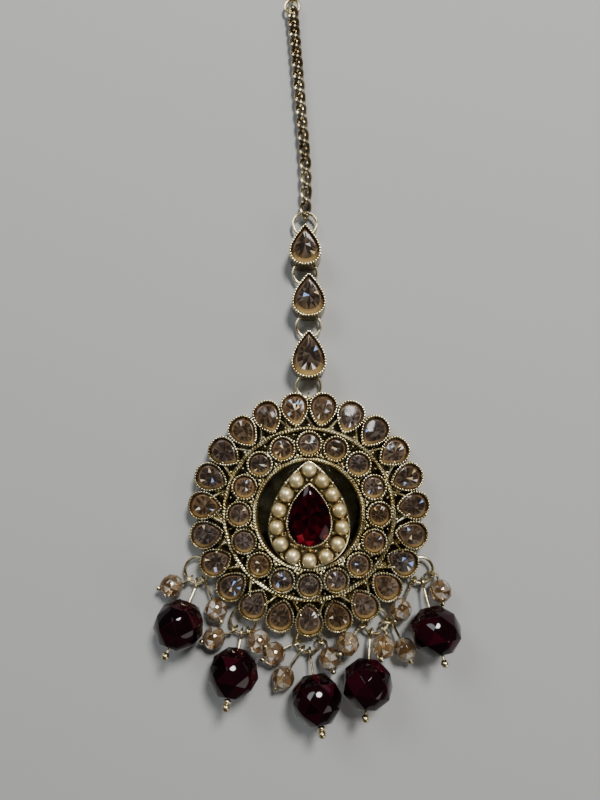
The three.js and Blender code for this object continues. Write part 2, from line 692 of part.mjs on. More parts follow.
function addDrops() {
  DROP_RING_PETALS.forEach((_, index) => {
    const ring = solid(flatRing(ringMiddle(index + 1), DROP_RING_RADIUS, WIRE_RADIUS));
    addPiece(`drop_ring_${index + 1}`, ring, MATERIALS.gold);
  });
  RED_DROPS.forEach((drop, index) => {
    const places = dropPlaces(drop, RED_BEAD_RADIUS);
    const bead = turned(
      RED_BEAD_ROWS, RED_BEAD_RADIUS, RED_BEAD_SIDES, places.bead, places.axis, RED_BEAD_HOLE);
    addPiece(`red_bead_${index + 1}`, solid(bead), MATERIALS.garnet);
    const end = places.bead.clone().addScaledVector(places.axis, RED_BEAD_RADIUS + RED_PIN_TAIL);
    const pin = headPin(places, end, end, RED_BALL_RADIUS);
    addPiece(`red_pin_${index + 1}`, pin, MATERIALS.gold);
  });
  SMALL_DROPS.forEach((drop, index) => {
    const places = dropPlaces(drop, SMALL_BEAD_RADIUS);
    const bead = turned(SMALL_BEAD_ROWS, SMALL_BEAD_RADIUS, BEAD_SIDES, places.bead, places.axis);
    const ball = places.bead.clone().addScaledVector(places.axis, SMALL_BEAD_RADIUS + SMALL_PIN_TAIL);
    const pin = headPin(places, places.bead, ball, SMALL_BALL_RADIUS);
    addPiece(`small_drop_${String(index + 1).padStart(2, '0')}`, solid(bead).add(pin), MATERIALS.champagne);
  });
}

addPendant();
addCentreStone();
addPearls();
addHook(addChain(addLinks()));
addDrops();

// The origin goes under the middle of the whole jewel's box
const box = new THREE.Box3().setFromObject(jewel);
const middle = box.getCenter(new THREE.Vector3());
jewel.position.set(-middle.x, -middle.y, -box.min.z);

export default jewel;
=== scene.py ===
"""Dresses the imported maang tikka: antique gold settings with beaded rims, cut stones, pearls and drops.

Sizes are millimetres measured from the pendant's middle, as the part's own sizes are.
make_piece() turns them into the frame's metres.
"""
import math

import bmesh
import bpy
import numpy as np
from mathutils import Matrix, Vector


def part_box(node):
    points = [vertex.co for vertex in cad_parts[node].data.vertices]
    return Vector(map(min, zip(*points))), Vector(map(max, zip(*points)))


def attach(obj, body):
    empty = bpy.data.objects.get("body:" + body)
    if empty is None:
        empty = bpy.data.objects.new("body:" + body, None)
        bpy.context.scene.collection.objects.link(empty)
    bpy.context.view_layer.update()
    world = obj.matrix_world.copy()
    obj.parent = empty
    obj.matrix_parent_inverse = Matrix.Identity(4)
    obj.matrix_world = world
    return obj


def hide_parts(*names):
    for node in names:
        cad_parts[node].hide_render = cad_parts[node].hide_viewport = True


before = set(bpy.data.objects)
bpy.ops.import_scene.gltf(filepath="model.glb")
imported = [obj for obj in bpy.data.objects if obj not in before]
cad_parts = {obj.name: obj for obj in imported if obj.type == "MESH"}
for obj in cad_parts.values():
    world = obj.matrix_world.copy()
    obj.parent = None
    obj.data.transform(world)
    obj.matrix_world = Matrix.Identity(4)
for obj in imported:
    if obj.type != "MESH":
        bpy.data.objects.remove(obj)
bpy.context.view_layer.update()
BODY = "root"
MM = 0.001
SEED = 7
SHARP_EDGE = math.radians(35)
OUTLINE_STEPS = 200


# Outline of every drop-shaped form
def even_turns(sides, first=0.0):
    """Angles at even steps around a circle. First is the turn of the first one, in steps."""
    return 2 * math.pi * (np.arange(sides) + first) / sides


def drop_outline(length, width, point, turns):
    """Drop with its round end towards +X and its tip towards -X, an ellipse where point is 0."""
    widest = point / (2 + point)
    fullest = math.sqrt(1 - widest ** 2) * ((1 + widest) / 2) ** (point / 2)
    across = np.sin(turns) * np.abs(np.cos(turns / 2)) ** point / fullest
    return np.column_stack((length / 2 * np.cos(turns), width / 2 * across))


def outline_length(length, width, point):
    outline = drop_outline(length, width, point, even_turns(OUTLINE_STEPS))
    return np.linalg.norm(outline - np.roll(outline, 1, axis=0), axis=1).sum()


# Clearance between pieces that touch on the real jewel
GAP = 0.3

# Settings: a collet that narrows by the flare, a beaded rim, and a stone sunk below it
RIM_WALL = 0.32
COLLET_FLARE = 0.15
COLLET_FOOT_INSET = 0.02
COLLET_FOOT = 0.15
STONE_SINK = 0.35
STONE_CROWN = 0.3
STONE_BITE = 0.02
STONE_FOOT = 0.05
STONE_SIDES = 24
STONE_UNEVEN = 0.11
SETTING_SIDES = 40
GRAIN_RADIUS = 0.2
GRAIN_SPACING = 0.46
GRAIN_INSET = 0.24
GRAIN_RISE = 0.04
RIM_STEPS = 180

# Section of a collet above its foot: inset beyond the flare, and depth below the top
COLLET_WALL = [
    (0.0, 0.42),
    (-0.05, 0.3),
    (-0.05, 0.12),
    (0.03, 0.01),
    (0.12, -0.02),
    (0.22, 0.04),
    (RIM_WALL - STONE_BITE, 0.16),
    (RIM_WALL + STONE_BITE, STONE_SINK + 0.2),
]

# Rows of a small stone's corners inside its edge: rise as a share of the crown, share of the
# outline, number of corners, and the first one's turn in pitches
STONE_ROWS = [
    (0.45, 0.86, STONE_SIDES, 0.0),
    (0.55, 0.77, STONE_SIDES, 0.0),
    (0.85, 0.42, STONE_SIDES // 2, 0.5),
]

# Petals
PENDANT_RADIUS = 19.5
PETAL_COUNT = 23
PETAL_LENGTH = 5.8
PETAL_WIDTH = 4.8
PETAL_POINT = 0.55
PETAL_HEIGHT = 3.2
PETAL_LEAN = math.radians(12)
PETAL_PITCH = 2 * math.pi / PETAL_COUNT
PETAL_CIRCLE = PENDANT_RADIUS - PETAL_LENGTH / 2

# Outer circle, and the wires twisted around each other along both circles
CIRCLE_WIDTH = 1.0
CIRCLE_DEPTH = 1.6
CIRCLE_SIDES = 144
OUTER_CIRCLE_RADIUS = PENDANT_RADIUS - PETAL_LENGTH + 0.2 * CIRCLE_WIDTH - CIRCLE_WIDTH / 2
OUTER_CIRCLE_TOP = 3.6
OUTER_STRAND = 0.19
OUTER_TWISTS = 84
STRAND_SIDES = 6
STRAND_RISE = 0.8
STEPS_PER_TWIST = 9

# Dark sheet behind the settings, painted shade for the gaps between them. It is drawn out to where the
# petals hide its edge.
SHADE_SHEET_THICKNESS = 0.5
SHADE_SHEET_LIFT = 0.02
SHADE_SHEET_RADIUS = PENDANT_RADIUS - 0.45 * PETAL_LENGTH

# Round settings between the circles
ROSETTE_COUNT = 16
ROSETTE_SIZE = 4.3
ROSETTE_HEIGHT = 3.0
ROSETTE_BACK = 1.7
ROSETTE_LEAN = math.radians(6)
ROSETTE_CIRCLE = OUTER_CIRCLE_RADIUS - CIRCLE_WIDTH / 4 - ROSETTE_SIZE / 2

# Inner circle
INNER_CIRCLE_RADIUS = ROSETTE_CIRCLE - ROSETTE_SIZE / 2 - CIRCLE_WIDTH / 4
INNER_CIRCLE_TOP = 4.6
INNER_STRAND = 0.17
INNER_TWISTS = 60

# Middle plate, its edge wire and the prongs between the pearls
PLATE_LENGTH = 2 * INNER_CIRCLE_RADIUS - CIRCLE_WIDTH / 2
PLATE_WIDTH = 12.9
PLATE_POINT = 0.65
PLATE_BACK = 3.1
PLATE_THICKNESS = 0.9
PLATE_TOP = PLATE_BACK + PLATE_THICKNESS
PLATE_SIDES = 96
PLATE_CHAMFER = 0.1
PLATE_BORDER = 0.2
PLATE_EDGE_WIRE = 0.17
PLATE_EDGE_SIDES = 8
PLATE_EDGE_FACES = (0.05, 0.3)
PLATE_EDGE_TOP = PLATE_TOP + 0.35
PLATE_EDGE_FOOT = PLATE_TOP - 0.1
PRONG_RADIUS = 0.3
PRONG_STEM = 0.75 * PRONG_RADIUS
PRONG_SIDES = 8
PRONG_TOP = PLATE_TOP + 0.55
PRONG_PLACES = (0.46, -0.42)

# Pearls
PEARL_COUNT = 14
PEARL_SPACING = 0.275
PEARL_ROUTE_INSET = 1.4
PEARL_ROUTE_LENGTH = outline_length(
    PLATE_LENGTH - 2 * PEARL_ROUTE_INSET, PLATE_WIDTH - 2 * PEARL_ROUTE_INSET, PLATE_POINT)
PEARL_SIZE = PEARL_ROUTE_LENGTH / PEARL_COUNT - PEARL_SPACING
PEARL_HEIGHT = PLATE_TOP + GAP + 0.42 * PEARL_SIZE
PEARL_REACH = PEARL_ROUTE_INSET + PEARL_SIZE / 2 + GAP
PEARL_ROUTE_STEPS = 1440
PEARL_FLAT = 0.75 * PEARL_SIZE / 2

# Middle stone and its bezel
BEZEL_END_SPACE = 0.5
BEZEL_LENGTH = PLATE_LENGTH - 2 * (PEARL_REACH + BEZEL_END_SPACE)
BEZEL_WIDTH = PLATE_WIDTH - 2 * PEARL_REACH
BEZEL_WALL = 0.3
BEZEL_HEIGHT = 1.3
BEZEL_SIDES = 72
STONE_GIRDLE = 0.35
STONE_TABLE_HEIGHT = 1.1
STONE_PAVILION = 1.4
BEZEL_FOOT = PLATE_TOP - 0.2
BEZEL_LIP = PLATE_TOP + BEZEL_HEIGHT + GAP + STONE_GIRDLE
LIP_FALL = 0.1
LIP_ROUND = 0.08
LIP_RISE = 0.04
TOOTH_SPACING = 0.42
TOOTH_RADIUS = 0.13
TOOTH_RISE = 0.02
TOOTH_ROUTE_STEPS = 360
GEM_CORNERS = 14
GEM_KEEL_INSET = BEZEL_WIDTH / 4
GEM_MIDDLE_RISE = 0.55
GEM_MIDDLE_SHARE = 0.84
GEM_TABLE_SHARE = 0.64
GEM_STAR_SHARE = 0.36
GEM_STAR_RISE = 0.001

# Bars and granules that fill the gaps of the pendant. Leans and turns are angles around it.
BAR_RADIUS = 0.17
GRANULE_RADIUS = 0.36
SMALL_GRANULE_RADIUS = 0.24
PETAL_BAR_BALL = 1.25 * BAR_RADIUS
PETAL_BAR_LEANS = (-0.045, 0.055)
PETAL_BAR_END = PENDANT_RADIUS - 0.62 * PETAL_LENGTH
PETAL_BAR_START = OUTER_CIRCLE_RADIUS + 0.3
PETAL_BAR_HEIGHTS = (OUTER_CIRCLE_TOP - 0.5, PETAL_HEIGHT - 0.1)
PETAL_GRANULE_CIRCLE = OUTER_CIRCLE_RADIUS + 0.62
ROSETTE_BAR_BALL = 1.2 * BAR_RADIUS
ROSETTE_BAR_END = ROSETTE_CIRCLE + 0.6
ROSETTE_BAR_LEAN = 0.01
ROSETTE_FILLING_TOP = ROSETTE_BACK + ROSETTE_HEIGHT - 0.35
ROSETTE_GRANULE_CIRCLE = INNER_CIRCLE_RADIUS + 0.72
SIDE_GRANULE_CIRCLE = INNER_CIRCLE_RADIUS + 0.5
SIDE_GRANULE_TURNS = (-0.055, 0.055)
FAR_BALL_CIRCLE = OUTER_CIRCLE_RADIUS - 0.75
FAR_BALL_TOP = OUTER_CIRCLE_TOP - 0.3
TOP_GRANULE_INSET = 1.35
TOP_GRANULE_HEIGHT = PETAL_HEIGHT - 0.5

# Rings, drawn a little thicker than their solids
WIRE_RADIUS = 0.22
RING_WIRE = 0.25
DROP_RING_RADIUS = 2.05
LINK_RING_RADIUS = 2.0
DROP_RING_HEIGHT = 1.3
SEAT_WALL = 0.85
TUNNEL_RADIUS = WIRE_RADIUS + GAP
DROP_RING_CIRCLE = PENDANT_RADIUS - SEAT_WALL - TUNNEL_RADIUS + DROP_RING_RADIUS
RING_STEPS = 40
WIRE_SIDES = 10
LOOP_BAR_RADIUS = 0.42

# Links above the pendant, from the lowest up, as shares of the lowest link's sizes and of the
# space below it. Aside is how far a link lies to the right, as a share of the width.
LINK_LENGTH = 8.0
LINK_WIDTH = 5.9
LINK_GAP = 2.0
LINK_POINT = 1.0
LINK_HEIGHT = 3.6
LINK_COLUMNS = ("gap", "length", "width", "aside")
LINK_SHARES = [
    (1.0, 1.0, 1.0, 0.0),
    (1.0, 0.925, 0.965, 0.0),
    (0.55, 0.875, 0.915, -0.1),
]
CHAIN_RING_SEAT = 1.15

# Chain
CHAIN_LINK_COUNT = 17
CHAIN_WIDTH = 2.15
CHAIN_WIRE_RADIUS = 0.33
CURB_WIRE_RADIUS = 0.41
CURB_TWIST = math.radians(55)
CHAIN_LINK_STEPS = 28
CHAIN_PATH_STEPS = 60
CHAIN_BUNCHING = 0.24
CHAIN_BITE = 0.85
CHAIN_HEIGHT = CHAIN_WIDTH / 2
LINK_RING_HEIGHT = CHAIN_HEIGHT
# The route's points are shares of its length, counted from where the first link starts
CHAIN_LENGTH = 37.2
CHAIN_ROUTE = [(0.0, 0.0), (0.005, 0.126), (0.0, 0.277), (-0.022, 0.551), (-0.04, 0.78), (-0.059, 1.0)]

# Hook
HOOK_RING_RADIUS = 1.25
HOOK_EYE_RADIUS = 0.78
HOOK_EYE_WIRE = 0.26
HOOK_WIRE = 0.45
HOOK_REST_HEIGHT = HOOK_WIRE + 0.05
HOOK_SHAFT = 8.5
HOOK_INNER_WIDTH = 4.8
HOOK_RETURN = 6.0
HOOK_TIP_FLARE = 0.7
HOOK_SIDES = 14
HOOK_PATH_STEPS = 12
HOOK_BEND_STEPS = 4

# Head pins and beads
EYE_RADIUS = 0.75
EYE_STEPS = 28
PIN_RADIUS = 0.2
RED_BEAD_RADIUS = 3.95
SMALL_BEAD_RADIUS = 1.85
RED_BALL_RADIUS = 0.6
SMALL_BALL_RADIUS = 0.45
RED_PIN_TAIL = 0.75
SMALL_PIN_TAIL = 0.12
FACET_BEVEL = 0.03
FACET_TOLERANCE = math.radians(2)
# Faces smaller than this, in square millimetres, are edges
EDGE_AREA = 0.08

# Gold barrels between bead and ball, on some of the red drops' pins
BARREL_DROPS = [2, 3]
BARREL_RADIUS = 0.62
BARREL_HALF = 0.4

# Petals, counted from the top clockwise, that the drop rings hang from
DROP_RING_PETALS = [17, 15, 13, 11, 9]

# Ring that holds each drop, its place on the ring, the way its pin leaves (degrees from +X),
# the bare pin between eye and bead, and how far the bead lies above the surface
DROP_COLUMNS = ("ring", "place", "leave", "neck", "lift")
RED_DROPS = [
    (1, -94.9, -110.1, 1.79, 0.0),
    (2, -98.0, -100.5, 0.93, 0.0),
    (3, -84.8, -80.8, 1.76, 0.0),
    (4, -106.8, -97.9, 2.38, 0.0),
    (5, -80.1, -78.4, 2.41, 0.0),
]
SMALL_DROPS = [
    (1, -132.9, -162.0, 0.04, 0.0),
    (1, -57.0, -64.7, 2.03, 0.0),
    (2, -138.8, -159.3, 0.5, 0.0),
    (2, -59.9, -21.6, 0.13, 1.85),
    (3, -164.3, -157.6, 1.08, 0.0),
    (3, -125.3, -125.3, 2.2, 0.0),
    (3, -9.1, -61.8, 0.04, 0.0),
    (4, -156.6, -138.7, 0.95, 1.05),
    (4, -40.8, -101.6, 0.02, 1.45),
    (4, -3.3, -57.1, 2.18, 0.0),
    (5, -123.1, -117.1, 2.15, 0.0),
    (5, -16.1, -67.5, 0.03, 0.0),
]

# Rows of corners of the cut beads, as shares of the radius. Turn is in pitches of the corners.
BEAD_ROW_COLUMNS = ("out", "along", "turn")
RED_BEAD_ROWS = [
    (0.44, -0.88, 0.0),
    (0.9, -0.46, 0.5),
    (1.0, 0.0, 0.0),
    (0.9, 0.46, 0.5),
    (0.44, 0.88, 0.0),
]
RED_BEAD_CORNERS = 7
SMALL_BEAD_ROWS = [
    (0.42, -0.9, 0.0),
    (0.84, -0.55, 0.5),
    (1.0, 0.0, 0.0),
    (0.84, 0.55, 0.5),
    (0.42, 0.9, 0.0),
]
SMALL_BEAD_CORNERS = 8

# Colours of the stones' facets: outer band, the thin ring inside it, facets, glints and the
# painted gold glow along their lower edges, light on the setting's inner wall
STONE_BROWNS = [(0.062, 0.036, 0.022), (0.045, 0.027, 0.018), (0.085, 0.05, 0.03)]
STONE_RINGS = [(0.15, 0.088, 0.045), (0.09, 0.053, 0.028), (0.2, 0.12, 0.062)]
STONE_FACETS = [
    (0.026, 0.018, 0.013), (0.038, 0.026, 0.018), (0.05, 0.033, 0.022), (0.066, 0.044, 0.03),
    (0.032, 0.022, 0.016), (0.095, 0.067, 0.047), (0.08, 0.052, 0.032), (0.13, 0.097, 0.072),
]
STONE_GLINTS = [(0.95, 0.92, 0.86), (0.4, 0.6, 1.0), (0.95, 0.7, 0.36), (0.85, 0.8, 0.85)]
STONE_GLINT_SHARE = 0.05
# How much whole stones differ in lightness and in warmth
STONE_SHADES = 0.3
STONE_WARMTHS = 0.2
# Painted glow: gold light along the stones' lower edges, and where and how strongly it shows
STONE_PAINTED_GLOW = np.array((0.62, 0.42, 0.16))
PAINTED_GLOW_START = 0.55
PAINTED_GLOW_AIM = 0.25
PAINTED_GLOW_STRENGTH = 1.3
PAINTED_GLOW_LIMIT = 0.75
GEM_REDS = [
    (0.045, 0.001, 0.005), (0.026, 0.0008, 0.004), (0.07, 0.0015, 0.007), (0.014, 0.0006, 0.003),
]
GEM_GLINTS = [(0.34, 0.02, 0.03), (0.24, 0.008, 0.016)]
GEM_SPREAD = 0.3
GEM_GLOW_BASE = 0.28
GEM_GLOW = 2.0
GEM_GLOW_REACH = 0.42
GEM_GLINT_REACH = 0.2
GEM_GLINT_SHARE = 0.25
BEAD_REDS = [
    (0.003, 0.0004, 0.001), (0.006, 0.0005, 0.0016), (0.009, 0.0006, 0.0024), (0.015, 0.0007, 0.003),
    (0.0045, 0.0005, 0.0016), (0.026, 0.001, 0.005),
]
BEAD_CHAMPAGNES = [
    (0.38, 0.22, 0.09), (0.48, 0.31, 0.15), (0.26, 0.14, 0.055), (0.6, 0.46, 0.3),
    (0.34, 0.24, 0.16), (0.18, 0.09, 0.032), (0.74, 0.63, 0.47),
]
BEAD_GLINTS = [(1.0, 0.99, 0.96), (0.98, 0.9, 0.75)]
BEAD_GLINT_SHARE = 0.1
# The narrow edges between the champagne facets
BEAD_EDGES = [(0.2, 0.12, 0.055)]
PEARL_CREAMS = [(0.88, 0.74, 0.41), (0.92, 0.79, 0.48), (0.83, 0.68, 0.35)]
PEARL_SPREAD = 0.05

# Scales of the noise in the materials, and depths of their fine relief
GOLD_CLOUDS = 520.0
GOLD_WEAR = 900.0
GOLD_GRAIN = 3500.0
GOLD_GRAIN_DEPTH = 0.03
GLASS_CLOUDS = 700.0
PEARL_CLOUDS = 450.0
PEARL_GRAIN = 1500.0
PEARL_GRAIN_DEPTH = 0.02

# How far hollows stay dark: patina on the gold, painted shade on the pearls
GOLD_HOLLOW = 0.6
PEARL_SHADE_REACH = 1.4

# Painted shade: how bright the gold is where it lies below the grains and wires
UNDER_GRAIN_SHADE = (0.42, 0.38, 0.32)
# Painted shade in the gaps: the colour of the dark sheet behind the settings
PAINTED_GAP_SHADE = (0.21, 0.2, 0.18)

UP = np.array((0.0, 0.0, 1.0))
RIGHT = np.array((1.0, 0.0, 0.0))
ALONG = np.array((0.0, 1.0, 0.0))

pendant_low, pendant_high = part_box("pendant_frame")
PENDANT_MIDDLE = np.array((
    (pendant_low[0] + pendant_high[0]) / 2,
    pendant_low[1] + PENDANT_RADIUS * MM,
    0.0,
))
dice = np.random.default_rng(SEED)


# Small helpers for points and directions
def unit(vector):
    return vector / np.linalg.norm(vector)


def level(angle):
    return np.array((math.cos(angle), math.sin(angle), 0.0))


def directions(turns):
    """Level directions at some turns, one in each row."""
    return np.column_stack((np.cos(turns), np.sin(turns), np.zeros(len(turns))))


def spot(x, y, z):
    return np.array((x, y, z), dtype=float)


def turned_by(angle):
    """Matrix whose rows turn a point about +Z."""
    c, s = math.cos(angle), math.sin(angle)
    return np.array(((c, s, 0.0), (-s, c, 0.0), (0.0, 0.0, 1.0)))


TIP_UP = turned_by(-math.pi / 2)


def basis_along(axis):
    """Rows of three directions, the last of them the axis."""
    helper = UP if abs(axis[2]) < 0.9 else RIGHT
    first = unit(np.cross(helper, axis))
    return np.array((first, np.cross(axis, first), axis))


class Skin:
    """Points and faces of one piece, with a colour and a shading for each face."""

    def __init__(self):
        self.points = []
        self.faces = []
        self.tints = []
        self.smooth = []
        self.count = 0

    def add(self, body, smooth=True, tints=None, tint=(1.0, 1.0, 1.0)):
        points, faces = body
        start = self.count
        self.points.append(np.asarray(points, dtype=float))
        self.faces.extend(tuple(start + index for index in face) for face in faces)
        self.smooth.extend([smooth] * len(faces))
        self.tints.extend(tints if tints is not None else [tint] * len(faces))
        self.count += len(points)


def new_object(name, data):
    """Object in the scene."""
    thing = bpy.data.objects.new(name, data)
    bpy.context.scene.collection.objects.link(thing)
    return thing


def make_piece(name, skin, material, nodes):
    """Object from a skin, riding on the body in place of its CAD nodes."""
    mesh = bpy.data.meshes.new(name)
    points = np.concatenate(skin.points) * MM + PENDANT_MIDDLE
    mesh.from_pydata(points.tolist(), [], skin.faces)
    shell = bmesh.new()
    shell.from_mesh(mesh)
    bmesh.ops.recalc_face_normals(shell, faces=shell.faces)
    shell.to_mesh(mesh)
    shell.free()
    mesh.polygons.foreach_set("use_smooth", skin.smooth)
    mesh.set_sharp_from_angle(angle=SHARP_EDGE)
    tint = mesh.color_attributes.new("tint", "FLOAT_COLOR", "CORNER")
    sizes = np.empty(len(mesh.polygons), dtype=np.int32)
    mesh.polygons.foreach_get("loop_total", sizes)
    colours = np.column_stack((np.array(skin.tints), np.ones(len(skin.tints))))
    tint.data.foreach_set("color", np.repeat(colours, sizes, axis=0).ravel())
    mesh.materials.append(material)
    mesh.update()
    piece = new_object(name, mesh)
    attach(piece, BODY)
    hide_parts(*nodes)


# Forms
def band(low, high, sides):
    """Faces between two rings of points, from the number of each ring's first point."""
    pairs = [(side, (side + 1) % sides) for side in range(sides)]
    return [(low + side, low + beside, high + beside, high + side) for side, beside in pairs]


def loft(rings, meets_itself=False):
    """Skin through rings of points. It has a cap at each end, or else it meets itself."""
    rings = np.asarray(rings)
    count, sides = rings.shape[:2]
    faces = []
    for row in range(count if meets_itself else count - 1):
        faces += band(row * sides, (row + 1) % count * sides, sides)
    if not meets_itself:
        last = (count - 1) * sides
        faces += [tuple(reversed(range(sides))), tuple(range(last, last + sides))]
    return rings.reshape(-1, 3), faces


def tube(path, radius, sides, closed=False, reference=None):
    """Round wire along a path. Its section keeps to the reference, or else turns with the path."""
    path = np.asarray(path, dtype=float)
    radii = np.broadcast_to(radius, len(path))
    if closed:
        tangents = np.roll(path, -1, axis=0) - np.roll(path, 1, axis=0)
    else:
        tangents = np.gradient(path, axis=0)
    turns = even_turns(sides)
    normal = basis_along(unit(tangents[0]))[0]
    rings = []
    for point, tangent, wire in zip(path, tangents, radii):
        tangent = unit(tangent)
        start = normal if reference is None else reference
        normal = unit(start - tangent * start.dot(tangent))
        across = np.cross(tangent, normal)
        section = np.outer(np.cos(turns), normal) + np.outer(np.sin(turns), across)
        rings.append(point + wire * section)
    return loft(rings, closed)


def wire_ring(middle, ahead, side, radius, wire, steps):
    turns = even_turns(steps, 0.5)
    path = middle + radius * np.outer(np.cos(turns), ahead) + radius * np.outer(np.sin(turns), side)
    return tube(path, wire, WIRE_SIDES, closed=True, reference=unit(np.cross(ahead, side)))


def upright_ring(middle, ahead, radius, wire=PIN_RADIUS):
    return wire_ring(middle, ahead, UP, radius, wire, EYE_STEPS)


def rod(start, end, radius, sides=WIRE_SIDES):
    return tube((start, end), radius, sides)


def unit_ball(sides, rows):
    """Ball of radius one around the origin."""
    tilts = math.pi * np.arange(1, rows) / rows
    around = directions(even_turns(sides))
    rings = [math.sin(tilt) * around - math.cos(tilt) * UP for tilt in tilts]
    points = np.vstack(([-UP], *rings, [UP]))
    top = len(points) - 1
    last = top - sides
    faces = []
    for side in range(sides):
        beside = (side + 1) % sides
        faces += [(0, 1 + beside, 1 + side), (top, last + side, last + beside)]
    for start in range(1, last, sides):
        faces += band(start, start + sides, sides)
    return points, faces


GRAIN = unit_ball(6, 4)
SMALL_BALL = unit_ball(14, 9)
BALL = unit_ball(28, 18)


def add_balls(skin, middles, radius, template):
    points, faces = template
    for middle in middles:
        skin.add((points * radius + middle, faces))


def run_along(path):
    """Distance from a path's start to each of its points."""
    return np.concatenate(([0.0], np.cumsum(np.linalg.norm(np.diff(path, axis=0), axis=1))))


def points_at(places, run, path):
    """Points at some distances along a path."""
    return np.column_stack([np.interp(places, run, path[:, axis]) for axis in range(path.shape[1])])


def evenly(outline, count=None, spacing=None):
    """Points at even steps along a closed outline, a count of them or about one spacing apart."""
    closed = np.vstack((outline, outline[:1]))
    run = run_along(closed)
    if count is None:
        count = round(run[-1] / spacing)
    return points_at(np.linspace(0, run[-1], count, endpoint=False), run, closed)


def drop_form(length, width, point, lean=0.0, height=0.0):
    """Sizes of one drop-shaped form, and how far its top leans towards its round end."""
    return {"length": length, "width": width, "point": point, "lean": lean, "height": height}


def drop_ring(form, inset, height, sides, share=1.0, slope_share=1.0, first=0.0):
    """Ring of points of a drop set in from its outline, sloping down towards the round end."""
    turns = even_turns(sides, first)
    length = form["length"] - 2 * inset
    width = form["width"] - 2 * inset
    flat = share * drop_outline(length, width, form["point"], turns)
    heights = height - slope_share * math.tan(form["lean"]) * flat[:, 0]
    return np.column_stack((flat, heights))


def drop_wall(form, section, sides, meets_itself=True):
    """Skin along a drop's outline, tip up, through a section of insets and heights."""
    rings = [drop_ring(form, inset, height, sides) for inset, height in section]
    points, faces = loft(rings, meets_itself)
    return points @ TIP_UP, faces


def collet(form):
    """Metal of a setting: back, flared wall, rounded rim and the inner wall down to the stone."""
    rings = [
        drop_ring(form, 0.0, 0.0, SETTING_SIDES, slope_share=0.0),
        drop_ring(form, COLLET_FOOT_INSET, COLLET_FOOT, SETTING_SIDES, slope_share=0.0),
    ]
    for inset, depth in COLLET_WALL:
        rings.append(drop_ring(form, COLLET_FLARE + inset, form["height"] - depth, SETTING_SIDES))
    return loft(rings)


def pick(colours, spread=0.15):
    """One of the colours, a little lighter or darker."""
    colour = np.array(colours[dice.integers(len(colours))])
    return tuple(colour * (1 + spread * dice.uniform(-1, 1)))


def facet_tint(colours, glints, share):
    """A facet's colour, now and then one of the glints."""
    return pick(glints) if dice.random() < share else pick(colours)


def cut_stone(form):
    """Stone with a brown outer band, a thin ring, and facets that run to a point in its middle."""
    inner = COLLET_FLARE + RIM_WALL
    girdle = form["height"] - STONE_SINK
    half = STONE_SIDES // 2
    outer = drop_ring(form, inner - STONE_BITE, girdle - STONE_FOOT, STONE_SIDES)
    brown, ring, star = (
        drop_ring(form, inner, girdle + rise * STONE_CROWN, sides, share=share, first=first)
        for rise, share, sides, first in STONE_ROWS
    )
    star[:, 2] += STONE_UNEVEN * dice.uniform(-1, 1, half)
    centre = star.mean(axis=0) + 2 * STONE_UNEVEN * dice.uniform(-1, 1, 3)
    points = np.vstack((outer, brown, ring, star, [centre]))
    faces = []
    tints = []
    for row, colours in enumerate((STONE_BROWNS, STONE_RINGS)):
        faces += band(row * STONE_SIDES, (row + 1) * STONE_SIDES, STONE_SIDES)
        tints += [pick(colours) for _ in range(STONE_SIDES)]
    ring_start = 2 * STONE_SIDES
    star_start = 3 * STONE_SIDES
    for side in range(half):
        beside = (side + 1) % half
        first, second, third = (ring_start + (2 * side + step) % STONE_SIDES for step in range(3))
        faces += [
            (first, second, star_start + side),
            (second, third, star_start + side),
            (third, star_start + beside, star_start + side),
            (star_start + side, star_start + beside, len(points) - 1),
        ]
        tints += [facet_tint(STONE_FACETS, STONE_GLINTS, STONE_GLINT_SHARE) for _ in range(4)]
    return points, faces, tints


def with_painted_glow(points, faces, tints, middle):
    """Tints with a painted gold glow, light on the setting's inner wall, on the faces along a stone's
    lower edge.
    """
    reach = np.linalg.norm((points - middle)[:, :2], axis=1).max()
    glowing_tints = []
    for face, tint in zip(faces, tints):
        away = (points[list(face)].mean(axis=0) - middle) / reach
        edge = max(0.0, np.hypot(*away[:2]) - PAINTED_GLOW_START) / (1 - PAINTED_GLOW_START)
        low = max(0.0, -away[1] - PAINTED_GLOW_AIM)
        share = min(PAINTED_GLOW_LIMIT, PAINTED_GLOW_STRENGTH * edge * low)
        glowing_tints.append(tuple((1 - share) * np.array(tint) + share * STONE_PAINTED_GLOW))
    return glowing_tints


def add_setting(metal, stones, form, turn, middle):
    """Collet, the grains on its rim and its stone, turned by a matrix and moved to their middle."""
    points, faces = collet(form)
    # Painted shade darkens the collet below its grains.
    metal.add((points @ turn + middle, faces), tint=UNDER_GRAIN_SHADE)
    rim = drop_ring(form, GRAIN_INSET, form["height"] + GRAIN_RISE, RIM_STEPS)
    grains = evenly(rim, spacing=GRAIN_SPACING)
    add_balls(metal, grains @ turn + middle, GRAIN_RADIUS, GRAIN)
    points, faces, tints = cut_stone(form)
    points = points @ turn + middle
    warmth = STONE_WARMTHS * dice.uniform(-1, 1)
    shade = (1 + STONE_SHADES * dice.uniform(-1, 1)) * np.array((1 + warmth / 2, 1.0, 1 - warmth))
    # The stone's lower edge gets a painted gold glow, light on the setting's inner wall.
    stones.add((points, faces), smooth=False, tints=with_painted_glow(points, faces, tints * shade, middle))


# Materials
def feed(material, node, sockets):
    """Gives a node's sockets plain values, or the outputs that they take their values from."""
    for key, value in sockets.items():
        if isinstance(value, bpy.types.NodeSocket):
            material.node_tree.links.new(value, node.inputs[key])
        else:
            node.inputs[key].default_value = value


def add_node(material, kind, sockets):
    node = material.node_tree.nodes.new(kind)
    feed(material, node, sockets)
    return node


